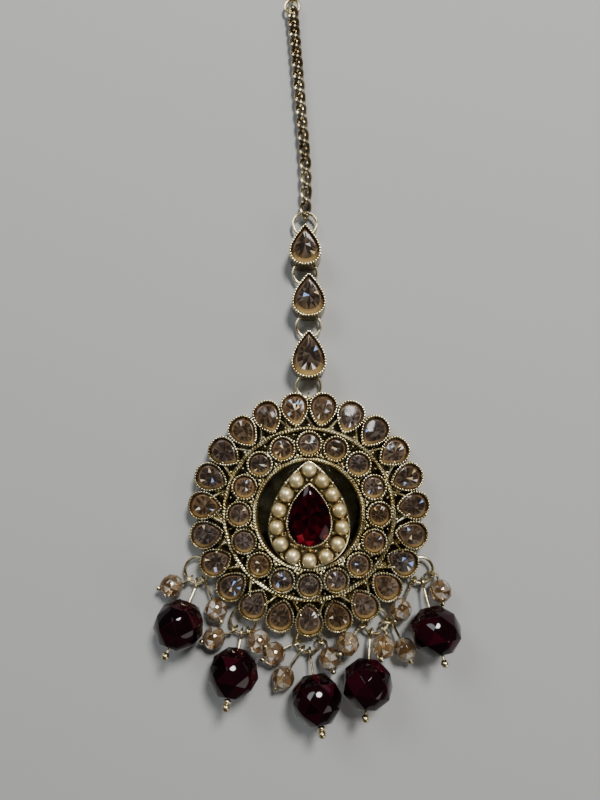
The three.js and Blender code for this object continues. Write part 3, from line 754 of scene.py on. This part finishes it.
def new_material(name, metallic=0.0, roughness=0.3):
    """Material with its nodes, and its main shader."""
    material = bpy.data.materials.new(name)
    material.use_nodes = True
    shader = material.node_tree.nodes["Principled BSDF"]
    feed(material, shader, {"Metallic": metallic, "Roughness": roughness})
    return material, shader


def noise(material, scale, detail=3.0):
    where = add_node(material, "ShaderNodeTexCoord", {}).outputs["Object"]
    sockets = {"Scale": scale, "Detail": detail, "Roughness": 0.55, "Vector": where}
    return add_node(material, "ShaderNodeTexNoise", sockets).outputs["Fac"]


def ramp(material, source, stops):
    """Colours at places from 0 to 1 of a source."""
    node = add_node(material, "ShaderNodeValToRGB", {"Fac": source})
    elements = node.color_ramp.elements
    for element, (place, colour) in zip(elements, (stops[0], stops[-1])):
        element.position = place
        element.color = (*colour, 1.0)
    for place, colour in stops[1:-1]:
        elements.new(place).color = (*colour, 1.0)
    return node.outputs["Color"]


def span(material, source, low, high, start=0.3, end=0.7):
    """A number between low and high as the source runs from start to end."""
    sockets = {"From Min": start, "From Max": end, "To Min": low, "To Max": high, "Value": source}
    return add_node(material, "ShaderNodeMapRange", sockets).outputs["Result"]


def mix(material, factor, first, second, blend="MIX"):
    node = add_node(material, "ShaderNodeMix", {})
    node.data_type = "RGBA"
    node.blend_type = blend
    feed(material, node, {0: factor, 6: first, 7: second})
    return node.outputs[2]


def bump(material, shader, height, distance, strength):
    sockets = {"Distance": distance, "Strength": strength, "Height": height}
    relief = add_node(material, "ShaderNodeBump", sockets).outputs["Normal"]
    feed(material, shader, {"Normal": relief})


def tint_of(material):
    node = add_node(material, "ShaderNodeAttribute", {})
    node.attribute_name = "tint"
    return node.outputs["Color"]


def clouded_tint(material, scale, shadow):
    """Faces' own colours with faint clouds over them."""
    cloud = ramp(material, noise(material, scale), ((0.3, shadow), (0.7, (1.0, 1.0, 1.0))))
    return mix(material, 1.0, tint_of(material), cloud, "MULTIPLY")


def hollows(material, reach):
    """0 in deep hollows and 1 on open faces."""
    node = add_node(material, "ShaderNodeAmbientOcclusion", {"Distance": reach})
    node.samples = 8
    return node.outputs["AO"]


def antique_gold(name, dark, middle, bright, patina, polish=(0.18, 0.36)):
    """Worn gilt metal, brown in its hollows and pale on what is rubbed."""
    material, shader = new_material(name, metallic=1.0)
    clouds = noise(material, GOLD_CLOUDS, 4.0)
    tone = ramp(material, clouds, ((0.32, dark), (0.47, middle), (0.6, bright)))
    worn = span(material, hollows(material, GOLD_HOLLOW * MM), 0.0, 1.0, 0.22, 0.62)
    colour = mix(material, worn, (*patina, 1.0), tone)
    feed(material, shader, {
        "Base Color": mix(material, 1.0, colour, tint_of(material), "MULTIPLY"),
        "Roughness": span(material, noise(material, GOLD_WEAR), *polish),
    })
    bump(material, shader, noise(material, GOLD_GRAIN, 2.0), GOLD_GRAIN_DEPTH * MM, 0.35)
    return material


def cut_glass(name, roughness, gloss, clear=0.0):
    """Glass that takes a colour from each facet, with faint clouds inside."""
    material, shader = new_material(name, roughness=roughness)
    feed(material, shader, {
        "Specular IOR Level": gloss,
        "Transmission Weight": clear,
        "Base Color": clouded_tint(material, GLASS_CLOUDS, (0.72, 0.72, 0.72)),
    })
    return material


def pearl_material():
    material, shader = new_material("cream_pearl", metallic=0.75, roughness=0.4)
    colour = clouded_tint(material, PEARL_CLOUDS, (0.88, 0.84, 0.76))
    # Painted shade: each pearl turns dark brown where the plate and its neighbours hem it in.
    seat = span(material, hollows(material, PEARL_SHADE_REACH * MM), 0.0, 1.0, 0.3, 0.95)
    feed(material, shader, {
        "Coat Weight": 1.0,
        "Coat Roughness": 0.2,
        "Base Color": mix(material, seat, (0.28, 0.16, 0.04, 1.0), colour),
    })
    bump(material, shader, noise(material, PEARL_GRAIN, 2.0), PEARL_GRAIN_DEPTH * MM, 0.2)
    return material


SETTING_GOLD = antique_gold(
    "setting_gold", (0.5, 0.4, 0.19), (0.74, 0.64, 0.36), (0.95, 0.89, 0.64), (0.05, 0.037, 0.016))
WIRE_GOLD = antique_gold(
    "wire_gold", (0.38, 0.29, 0.14), (0.66, 0.55, 0.31), (0.92, 0.83, 0.56), (0.06, 0.042, 0.02))
CHAIN_GOLD = antique_gold(
    "chain_gold", (0.2, 0.15, 0.085), (0.34, 0.27, 0.16), (0.62, 0.53, 0.35), (0.025, 0.018, 0.01),
    polish=(0.13, 0.26))
STONE_GLASS = cut_glass("foiled_glass", 0.13, 0.15)
GEM_GLASS = cut_glass("garnet_gem_glass", 0.06, 0.16)
RED_GLASS = cut_glass("garnet_bead_glass", 0.06, 0.28)
CHAMPAGNE_GLASS = cut_glass("champagne_bead_glass", 0.04, 0.8, clear=0.65)
PEARL = pearl_material()


# Pendant
def petal_angle(number):
    """Petal numbers count clockwise, and numbers 1 and 2 lie beside the link's ring at the top."""
    return math.pi / 2 + PETAL_PITCH * (1.5 - number)


def gold_piece(name, skin, node="pendant_frame", material=SETTING_GOLD):
    make_piece(name, skin, material, [node])


def stone_piece(name, skin, node="pendant_frame"):
    make_piece(name, skin, STONE_GLASS, [node])


def make_settings(name, form, turns, circle, back):
    """Settings around the pendant, each with its tip towards the middle."""
    metal = Skin()
    stones = Skin()
    for angle in turns:
        add_setting(metal, stones, form, turned_by(angle), circle * level(angle) + back * UP)
    gold_piece(f"{name}_collets", metal)
    stone_piece(f"{name}_stones", stones)


def make_petals():
    form = drop_form(PETAL_LENGTH, PETAL_WIDTH, PETAL_POINT, PETAL_LEAN, PETAL_HEIGHT)
    turns = [petal_angle(number) for number in range(1, PETAL_COUNT + 1)]
    make_settings("petal", form, turns, PETAL_CIRCLE, 0.0)


def make_rosettes():
    form = drop_form(ROSETTE_SIZE, ROSETTE_SIZE, 0.0, ROSETTE_LEAN, ROSETTE_HEIGHT)
    turns = math.pi / 2 - even_turns(ROSETTE_COUNT)
    make_settings("rosette", form, turns, ROSETTE_CIRCLE, ROSETTE_BACK)


def add_circle(skin, radius, top, strand, twists):
    """Band with two wires twisted around each other along its top edge."""
    half = CIRCLE_WIDTH / 2
    crown = top - strand
    section = [
        (radius - half, top - CIRCLE_DEPTH),
        (radius + half, top - CIRCLE_DEPTH),
        (radius + half, crown - half / 2),
        (radius + half / 2, crown),
        (radius - half / 2, crown),
        (radius - half, crown - half / 2),
    ]
    around = directions(even_turns(CIRCLE_SIDES))
    # Painted shade darkens the band below its twisted wires.
    skin.add(loft([out * around + height * UP for out, height in section], True), tint=UNDER_GRAIN_SHADE)
    turns = even_turns(twists * STEPS_PER_TWIST)
    for start in (0.0, math.pi):
        twist = twists * turns + start
        out = radius + strand * np.cos(twist)
        height = crown + STRAND_RISE * strand * np.sin(twist)
        path = out[:, None] * directions(turns) + height[:, None] * UP
        skin.add(tube(path, strand, STRAND_SIDES, closed=True, reference=UP))


def make_circles():
    skin = Skin()
    add_circle(skin, OUTER_CIRCLE_RADIUS, OUTER_CIRCLE_TOP, OUTER_STRAND, OUTER_TWISTS)
    add_circle(skin, INNER_CIRCLE_RADIUS, INNER_CIRCLE_TOP, INNER_STRAND, INNER_TWISTS)
    gold_piece("twisted_circles", skin)


PLATE = drop_form(PLATE_LENGTH, PLATE_WIDTH, PLATE_POINT)
BEZEL = drop_form(BEZEL_LENGTH, BEZEL_WIDTH, PLATE_POINT)


def pearl_middles():
    """Middles of the pearls, evenly spaced from the plate's tip around."""
    first = PEARL_ROUTE_STEPS / 2
    route = drop_ring(PLATE, PEARL_ROUTE_INSET, PEARL_HEIGHT, PEARL_ROUTE_STEPS, first=first)
    return evenly(route, count=PEARL_COUNT) @ TIP_UP


def add_prongs(skin):
    """Small balls at the plate's edge and at the bezel, between each two pearls."""
    pearls = pearl_middles()
    for here, after in zip(pearls, np.roll(pearls, -1, axis=0)):
        middle = (here + after) / 2
        outwards = np.cross(unit(after - here), UP)
        if outwards.dot(middle) < 0:
            outwards = -outwards
        for share in PRONG_PLACES:
            x, y, _ = middle + share * PEARL_SIZE * outwards
            top = spot(x, y, PRONG_TOP)
            skin.add(rod(spot(x, y, PLATE_EDGE_FOOT), top, PRONG_STEM, PRONG_SIDES))
            add_balls(skin, [top], PRONG_RADIUS, SMALL_BALL)


def make_plate():
    skin = Skin()
    plate = [
        (PLATE_CHAMFER, PLATE_BACK),
        (0.0, PLATE_BACK + PLATE_CHAMFER),
        (0.0, PLATE_TOP),
        (PLATE_BORDER, PLATE_TOP),
    ]
    # Painted shade darkens the plate below its edge wire and prongs.
    skin.add(drop_wall(PLATE, plate, PLATE_SIDES, meets_itself=False), tint=UNDER_GRAIN_SHADE)
    edge = drop_ring(PLATE, PLATE_EDGE_WIRE, PLATE_EDGE_TOP, PLATE_SIDES) @ TIP_UP
    skin.add(tube(edge, PLATE_EDGE_WIRE, PLATE_EDGE_SIDES, closed=True, reference=UP))
    outer, inner = PLATE_EDGE_FACES
    wall = [
        (outer, PLATE_EDGE_FOOT),
        (outer, PLATE_EDGE_TOP),
        (inner, PLATE_EDGE_TOP),
        (inner, PLATE_EDGE_FOOT),
    ]
    skin.add(drop_wall(PLATE, wall, PLATE_SIDES))
    add_prongs(skin)
    gold_piece("pearl_plate", skin)


def make_bezel():
    skin = Skin()
    wall = [
        (0.0, BEZEL_FOOT),
        (0.0, BEZEL_LIP - LIP_FALL),
        (LIP_ROUND, BEZEL_LIP),
        (BEZEL_WALL - LIP_ROUND, BEZEL_LIP + LIP_RISE),
        (BEZEL_WALL, BEZEL_LIP - LIP_FALL),
        (BEZEL_WALL, BEZEL_FOOT),
    ]
    skin.add(drop_wall(BEZEL, wall, BEZEL_SIDES))
    route = drop_ring(BEZEL, BEZEL_WALL / 2, BEZEL_LIP + TOOTH_RISE, TOOTH_ROUTE_STEPS)
    add_balls(skin, evenly(route, spacing=TOOTH_SPACING) @ TIP_UP, TOOTH_RADIUS, GRAIN)
    gold_piece("gem_bezel", skin)


def make_gem():
    """Drop-cut stone with a large table, a crown of facets and a glow in its lower end."""
    girdle = PLATE_TOP + BEZEL_HEIGHT + GAP
    low = girdle + STONE_GIRDLE
    high = girdle + STONE_TABLE_HEIGHT
    half = GEM_CORNERS
    whole = 2 * half
    rows = [
        drop_ring(BEZEL, GEM_KEEL_INSET, girdle - STONE_PAVILION + GAP, whole),
        drop_ring(BEZEL, BEZEL_WALL, girdle, whole),
        drop_ring(BEZEL, BEZEL_WALL, low, whole),
    ]
    middle_height = low + GEM_MIDDLE_RISE * (high - low)
    for height, share, first in (
        (middle_height, GEM_MIDDLE_SHARE, 0.5),
        (high, GEM_TABLE_SHARE, 0.0),
        (high + GEM_STAR_RISE, GEM_STAR_SHARE, 0.5),
    ):
        rows.append(drop_ring(BEZEL, BEZEL_WALL, height, half, share=share, first=first))
    points = np.vstack((*rows, [rows[-1].mean(axis=0)])) @ TIP_UP
    rim_start, mid_start = 2 * whole, 3 * whole
    faces = [tuple(reversed(range(whole)))]
    faces += band(0, whole, whole) + band(whole, rim_start, whole)
    for side in range(half):
        beside = (side + 1) % half
        rim = [rim_start + (2 * side + step) % whole for step in range(3)]
        mid, tab, inn = (mid_start + row * half + side for row in range(3))
        mid_next, tab_next, inn_next = (mid_start + row * half + beside for row in range(3))
        faces += [
            (rim[0], rim[1], mid), (rim[1], rim[2], mid), (rim[2], mid_next, mid),
            (mid, tab_next, tab), (mid, mid_next, tab_next),
            (tab, tab_next, inn), (tab_next, inn_next, inn), (inn, inn_next, len(points) - 1),
        ]
    lowest = points[:, 1].min()
    tall = points[:, 1].max() - lowest
    tints = []
    for face in faces:
        up = (points[list(face), 1].mean() - lowest) / tall
        glow = GEM_GLOW_BASE + GEM_GLOW * max(0.0, GEM_GLOW_REACH - up)
        glints = up < GEM_GLINT_REACH and dice.random() < GEM_GLINT_SHARE
        colour = pick(GEM_GLINTS) if glints else pick(GEM_REDS, GEM_SPREAD)
        tints.append(tuple(glow * channel for channel in colour))
    skin = Skin()
    skin.add((points, faces), smooth=False, tints=tints)
    make_piece("centre_gem", skin, GEM_GLASS, ["centre_stone"])


def make_pearls():
    points, faces = BALL
    body = points * PEARL_SIZE / 2
    body[:, 2] = np.maximum(body[:, 2], -PEARL_FLAT)
    for index, middle in enumerate(pearl_middles()):
        skin = Skin()
        skin.add((body + middle, faces), tint=pick(PEARL_CREAMS, PEARL_SPREAD))
        number = f"{index + 1:02d}"
        make_piece(f"half_pearl_{number}", skin, PEARL, [f"pearl_{number}"])


def make_shade_sheet():
    """Dark sheet behind the settings: painted shade that shows in the gaps between them."""
    edge = SHADE_SHEET_RADIUS * directions(even_turns(CIRCLE_SIDES))
    skin = Skin()
    skin.add(loft([edge + height * UP for height in (SHADE_SHEET_LIFT, SHADE_SHEET_THICKNESS)]), tint=PAINTED_GAP_SHADE)
    gold_piece("gap_shade_sheet", skin)


def make_filling():
    """Bars and granules between the petals and between the round settings."""
    skin = Skin()
    low_height, high_height = PETAL_BAR_HEIGHTS
    for number in range(1, PETAL_COUNT + 1):
        angle = petal_angle(number) - PETAL_PITCH / 2
        lean = PETAL_BAR_LEANS[number % 2]
        high = PETAL_BAR_END * level(angle + lean) + high_height * UP
        low = PETAL_BAR_START * level(angle - lean) + low_height * UP
        beside = PETAL_GRANULE_CIRCLE * level(angle) + low_height * UP
        skin.add(rod(high, low, BAR_RADIUS))
        add_balls(skin, [high, low], PETAL_BAR_BALL, SMALL_BALL)
        add_balls(skin, [beside], SMALL_GRANULE_RADIUS, SMALL_BALL)
    height = ROSETTE_FILLING_TOP * UP
    for angle in math.pi / 2 - even_turns(ROSETTE_COUNT, 0.5):
        near = ROSETTE_GRANULE_CIRCLE * level(angle) + height
        sides = [SIDE_GRANULE_CIRCLE * level(angle + turn) + height for turn in SIDE_GRANULE_TURNS]
        end = ROSETTE_BAR_END * level(angle + ROSETTE_BAR_LEAN) + height
        far = FAR_BALL_CIRCLE * level(angle) + FAR_BALL_TOP * UP
        add_balls(skin, [near], GRANULE_RADIUS, SMALL_BALL)
        add_balls(skin, sides, SMALL_GRANULE_RADIUS, SMALL_BALL)
        skin.add(rod(near, end, BAR_RADIUS))
        add_balls(skin, [end, far], ROSETTE_BAR_BALL, SMALL_BALL)
    gold_piece("bars_and_granules", skin)


LOWEST_RING_Y = PENDANT_RADIUS + LINK_GAP / 2


def make_pendant_loop():
    skin = Skin()
    middle = spot(0, LOWEST_RING_Y - LINK_RING_RADIUS, LINK_RING_HEIGHT)
    skin.add(upright_ring(middle, ALONG, EYE_RADIUS))
    bar = middle - EYE_RADIUS * ALONG
    reach = PETAL_CIRCLE * math.sin(PETAL_PITCH / 2) * RIGHT
    skin.add(rod(bar - reach, bar + reach, LOOP_BAR_RADIUS))
    top = spot(0, PENDANT_RADIUS - TOP_GRANULE_INSET, TOP_GRANULE_HEIGHT)
    add_balls(skin, [top], GRANULE_RADIUS, SMALL_BALL)
    gold_piece("pendant_loop", skin, material=WIRE_GOLD)


# Links, rings, chain and hook
def make_ring(name, middle, radius, node):
    skin = Skin()
    skin.add(wire_ring(middle, RIGHT, ALONG, radius, RING_WIRE, RING_STEPS))
    make_piece(name, skin, WIRE_GOLD, [node])


def make_links():
    """Makes the drop-shaped links and their rings, and gives the middle of the chain's ring."""
    bottom = PENDANT_RADIUS
    rings = []
    for index, shares in enumerate(LINK_SHARES):
        shares = dict(zip(LINK_COLUMNS, shares))
        gap = LINK_GAP * shares["gap"]
        length = LINK_LENGTH * shares["length"]
        aside = LINK_WIDTH * shares["aside"]
        rings.append(spot(aside, bottom + gap / 2, LINK_RING_HEIGHT))
        middle = spot(aside, bottom + gap + length / 2, 0)
        bottom += gap + length
        form = drop_form(length, LINK_WIDTH * shares["width"], LINK_POINT, height=LINK_HEIGHT)
        metal = Skin()
        stones = Skin()
        add_setting(metal, stones, form, TIP_UP, middle)
        number = len(LINK_SHARES) - index
        node = f"link_setting_{number}"
        gold_piece(f"link_collet_{number}", metal, node)
        stone_piece(f"link_stone_{number}", stones, node)
    rings.append(spot(rings[-1][0], bottom + LINK_RING_RADIUS - CHAIN_RING_SEAT, LINK_RING_HEIGHT))
    for index, middle in enumerate(rings):
        number = len(rings) - index
        make_ring(f"jump_ring_{number}", middle, LINK_RING_RADIUS, f"link_ring_{number}")
    return rings[-1]


def through(points, steps):
    """Centripetal Catmull-Rom curve through the points, with some steps for each stretch."""
    points = np.asarray(points, dtype=float)
    before = 2 * points[0] - points[1]
    after = 2 * points[-1] - points[-2]
    whole = np.vstack((before, points, after))
    path = []
    for index in range(len(points) - 1):
        a, b, c, d = whole[index:index + 4]
        first, middle, last = (math.sqrt(np.linalg.norm(q - p)) for p, q in ((a, b), (b, c), (c, d)))
        leave = ((b - a) / first - (c - a) / (first + middle) + (c - b) / middle) * middle
        arrive = ((c - b) / middle - (d - b) / (middle + last) + (d - c) / last) * middle
        bend = -3 * b + 3 * c - 2 * leave - arrive
        rest = 2 * b - 2 * c + leave + arrive
        for share in np.arange(steps) / steps:
            path.append(b + leave * share + bend * share ** 2 + rest * share ** 3)
    path.append(points[-1])
    return np.array(path)


def chain_spacing(length):
    """Pitches of the chain's links, and the half length that lets each link hold its neighbours."""
    steps = CHAIN_LINK_COUNT - 1
    shares = 1 + CHAIN_BUNCHING * (1 - 2 * np.arange(steps) / (steps - 1))
    total = shares.sum() + (shares[0] + shares[-1]) / 2
    bite = CHAIN_BITE * CHAIN_WIRE_RADIUS
    pitches = shares * (length - 2 * bite) / total
    before = np.concatenate((pitches[:1], pitches))
    after = np.concatenate((pitches, pitches[-1:]))
    return pitches, (before + after) / 4 + bite


def curb_link(middle, ahead, half, half_width):
    """Oval link whose two ends are twisted against each other."""
    turns = even_turns(CHAIN_LINK_STEPS)
    across = unit(np.cross(ahead, UP))
    over = np.cross(across, ahead)
    out = half_width * np.sin(turns)
    twist = CURB_TWIST * np.cos(turns)
    path = middle + half * np.outer(np.cos(turns), ahead)
    path = path + np.outer(out * np.cos(twist), across) + np.outer(out * np.sin(twist), over)
    return tube(path, CURB_WIRE_RADIUS, WIRE_SIDES, closed=True, reference=over)


def make_chain(ring_middle):
    """Makes the chain, and gives the point where its last link ends."""
    start = ring_middle + (LINK_RING_RADIUS - WIRE_RADIUS - GAP - CHAIN_WIRE_RADIUS) * ALONG
    points = [start + CHAIN_LENGTH * spot(x, y, 0) for x, y in CHAIN_ROUTE]
    path = through(points, CHAIN_PATH_STEPS)
    run = run_along(path)
    pitches, halves = chain_spacing(run[-1])
    half_width = CHAIN_WIDTH / 2 - CURB_WIRE_RADIUS
    places = np.cumsum(np.concatenate((halves[:1], pitches)))
    middles = points_at(places, run, path)
    tangents = points_at(places, run, np.gradient(path, run, axis=0))
    skin = Skin()
    for middle, tangent, half in zip(middles, tangents, halves):
        skin.add(curb_link(middle, unit(tangent), half, half_width))
    make_piece("chain_links", skin, CHAIN_GOLD, ["chain"])
    return points[-1]


def make_hook(chain_end):
    """Plain hook: an eye around its ring, a shaft, a round bend and a return with a flared tip."""
    seat = CHAIN_WIRE_RADIUS + GAP + WIRE_RADIUS
    ring_middle = chain_end + (HOOK_RING_RADIUS - seat) * ALONG
    make_ring("hook_jump_ring", ring_middle, HOOK_RING_RADIUS, "hook_ring")
    eye = ring_middle + HOOK_RING_RADIUS * ALONG
    start = eye + HOOK_EYE_RADIUS * ALONG
    bend_radius = HOOK_INNER_WIDTH / 2 + HOOK_WIRE
    bend = spot(start[0] + bend_radius, start[1] + HOOK_SHAFT, HOOK_REST_HEIGHT)
    waist = spot(start[0], start[1] + HOOK_SHAFT / 2, (start[2] + HOOK_REST_HEIGHT) / 2)
    turns = np.linspace(math.pi, 0.0, HOOK_BEND_STEPS + 1)
    path = through([
        start,
        waist,
        *(bend + bend_radius * level(turn) for turn in turns),
        bend + spot(bend_radius, -HOOK_RETURN / 2, 0),
        bend + spot(bend_radius + HOOK_TIP_FLARE, -HOOK_RETURN, 0),
    ], HOOK_PATH_STEPS)
    skin = Skin()
    skin.add(tube(path, HOOK_WIRE, HOOK_SIDES))
    skin.add(upright_ring(eye, ALONG, HOOK_EYE_RADIUS, HOOK_EYE_WIRE))
    make_piece("smooth_hook", skin, WIRE_GOLD, ["hair_hook"])


# Drops
def ring_middle_at(petal):
    return DROP_RING_CIRCLE * level(petal_angle(petal)) + DROP_RING_HEIGHT * UP


def drop_places(drop, bead_radius):
    """Where a drop's eye loop, bead and pin lie."""
    drop = dict(zip(DROP_COLUMNS, drop))
    outwards = level(math.radians(drop["place"]))
    petal = DROP_RING_PETALS[drop["ring"] - 1]
    eye = ring_middle_at(petal) + DROP_RING_RADIUS * outwards
    reach = EYE_RADIUS + PIN_RADIUS + drop["neck"] + bead_radius
    rise = bead_radius + drop["lift"] - eye[2]
    run = math.sqrt(reach ** 2 - rise ** 2)
    bead = eye + run * level(math.radians(drop["leave"])) + rise * UP
    towards = bead - eye
    in_plane = unit(towards.dot(outwards) * outwards + towards[2] * UP)
    start = eye + EYE_RADIUS * in_plane
    return {"outwards": outwards, "eye": eye, "bead": bead, "start": start, "axis": unit(bead - start)}


def cut_bead(place, rows, corners, radius, colours, glints=None):
    """Bead with flat facets between its rows of corners, and narrow polished edges."""
    shell = bmesh.new()
    for row in rows:
        row = dict(zip(BEAD_ROW_COLUMNS, row))
        out = radius * row["out"]
        for turn in even_turns(corners, row["turn"]):
            shell.verts.new((out * math.cos(turn), out * math.sin(turn), radius * row["along"]))
    bmesh.ops.convex_hull(shell, input=shell.verts)
    bmesh.ops.dissolve_limit(shell, angle_limit=FACET_TOLERANCE, verts=shell.verts, edges=shell.edges)
    bmesh.ops.bevel(shell, geom=shell.edges, offset=FACET_BEVEL, segments=1, affect="EDGES")
    shell.verts.index_update()
    points = np.array([vertex.co for vertex in shell.verts])
    faces = [tuple(vertex.index for vertex in face.verts) for face in shell.faces]
    share = BEAD_GLINT_SHARE if glints else 0.0
    edges = BEAD_EDGES if glints else colours
    wide = [face.calc_area() > EDGE_AREA for face in shell.faces]
    tints = [facet_tint(colours, glints, share) if is_wide else pick(edges) for is_wide in wide]
    shell.free()
    points = points @ basis_along(place["axis"]) + place["bead"]
    if glints:
        heights = [points[list(face), 2].mean() * is_wide for face, is_wide in zip(faces, wide)]
        tints[int(np.argmax(heights))] = pick(glints)
    return points, faces, tints


def make_bead(name, node, place, cut, material):
    """Bead as a piece. Its cut is its rows, corners and radius, its colours and any glints."""
    points, faces, tints = cut_bead(place, *cut)
    skin = Skin()
    skin.add((points, faces), smooth=False, tints=tints)
    make_piece(name, skin, material, [node])


def head_pin(place, reach, ball_radius):
    """Eye loop, wire and ball end. Reach is from the bead's middle to the ball's."""
    end = place["bead"] + reach * place["axis"]
    skin = Skin()
    skin.add(upright_ring(place["eye"], place["outwards"], EYE_RADIUS))
    skin.add(rod(place["start"], end, PIN_RADIUS))
    add_balls(skin, [end], ball_radius, SMALL_BALL)
    return skin


def make_drop_rings():
    for number, petal in enumerate(DROP_RING_PETALS, 1):
        middle = ring_middle_at(petal)
        make_ring(f"drop_jump_ring_{number}", middle, DROP_RING_RADIUS, f"drop_ring_{number}")


def make_red_drops():
    cut = (RED_BEAD_ROWS, RED_BEAD_CORNERS, RED_BEAD_RADIUS, BEAD_REDS)
    reach = RED_BEAD_RADIUS + RED_PIN_TAIL
    for number, drop in enumerate(RED_DROPS, 1):
        place = drop_places(drop, RED_BEAD_RADIUS)
        make_bead(f"garnet_bead_{number}", f"red_bead_{number}", place, cut, RED_GLASS)
        pin = head_pin(place, reach, RED_BALL_RADIUS)
        if number in BARREL_DROPS:
            points, faces = SMALL_BALL
            barrel = points * (BARREL_RADIUS, BARREL_RADIUS, BARREL_HALF) @ basis_along(place["axis"])
            run = reach - RED_BALL_RADIUS - BARREL_HALF / 2
            pin.add((barrel + place["bead"] + run * place["axis"], faces))
        make_piece(f"garnet_pin_{number}", pin, WIRE_GOLD, [f"red_pin_{number}"])


def make_small_drops():
    cut = (SMALL_BEAD_ROWS, SMALL_BEAD_CORNERS, SMALL_BEAD_RADIUS, BEAD_CHAMPAGNES, BEAD_GLINTS)
    for index, drop in enumerate(SMALL_DROPS, 1):
        place = drop_places(drop, SMALL_BEAD_RADIUS)
        number = f"{index:02d}"
        node = f"small_drop_{number}"
        make_bead(f"champagne_bead_{number}", node, place, cut, CHAMPAGNE_GLASS)
        pin = head_pin(place, SMALL_BEAD_RADIUS + SMALL_PIN_TAIL, SMALL_BALL_RADIUS)
        make_piece(f"champagne_pin_{number}", pin, WIRE_GOLD, [node])


# Floor, lights and camera
FLOOR_HALF = 1.5
FLOOR_COLOUR = (0.41, 0.415, 0.41)
CAMERA_TILT = math.radians(4)
CAMERA_DISTANCE = 92.6
CAMERA_LENS = 24.975
VIEW_SPOT = (-1.432, 18.23)
WORLD_COLOUR = (0.56, 0.6, 0.66)
WORLD_STRENGTH = 0.1
# Lamps: name, place and size in metres, watts and colour. Each points at the jewel's middle.
LAMP_COLUMNS = ("name", "place", "size", "watts", "colour")
LAMPS = [
    ("key_light", (0.16, 0.33, 0.5), 0.16, 4.6, (1.0, 0.98, 0.94)),
    ("side_light", (-0.3, 0.35, 0.35), 0.25, 1.2, (0.9, 0.95, 1.0)),
    ("fill_light", (0.35, -0.3, 0.25), 0.3, 0.5, (1.0, 0.93, 0.84)),
]


def make_floor():
    corners = [(FLOOR_HALF * x, FLOOR_HALF * y, 0.0) for x, y in ((-1, -1), (1, -1), (1, 1), (-1, 1))]
    mesh = bpy.data.meshes.new("floor")
    mesh.from_pydata(corners, [], [(0, 1, 2, 3)])
    floor = new_object("floor", mesh)
    material, shader = new_material("pale_floor", roughness=0.9)
    feed(material, shader, {"Base Color": (*FLOOR_COLOUR, 1.0)})
    mesh.materials.append(material)


def make_lights():
    for row in LAMPS:
        row = dict(zip(LAMP_COLUMNS, row))
        lamp = bpy.data.lights.new(row["name"], "AREA")
        lamp.shape = "DISK"
        lamp.size = row["size"]
        lamp.energy = row["watts"]
        lamp.color = row["colour"]
        light = new_object(row["name"], lamp)
        place = np.array(row["place"])
        light.location = place
        ahead = -unit(place)
        light.rotation_euler = (math.acos(-ahead[2]), 0.0, math.atan2(ahead[1], ahead[0]) - math.pi / 2)


def make_world():
    world = bpy.data.worlds.new("studio")
    bpy.context.scene.world = world
    world.use_nodes = True
    background = world.node_tree.nodes["Background"]
    feed(world, background, {"Color": (*WORLD_COLOUR, 1.0), "Strength": WORLD_STRENGTH})


def make_camera():
    lens = bpy.data.cameras.new("camera")
    lens.sensor_width = 36.0
    lens.lens = CAMERA_LENS
    lens.clip_start = MM
    camera = new_object("camera", lens)
    ground = spot(*VIEW_SPOT, 0) * MM + PENDANT_MIDDLE
    away = spot(0, -math.sin(CAMERA_TILT), math.cos(CAMERA_TILT)) * CAMERA_DISTANCE * MM
    camera.location = ground + away
    camera.rotation_euler = (CAMERA_TILT, 0.0, 0.0)
    bpy.context.scene.camera = camera


make_camera()
make_world()
make_lights()
make_floor()
make_petals()
make_rosettes()
make_circles()
make_plate()
make_bezel()
make_gem()
make_pearls()
make_shade_sheet()
make_filling()
make_pendant_loop()
make_hook(make_chain(make_links()))
make_drop_rings()
make_red_drops()
make_small_drops()
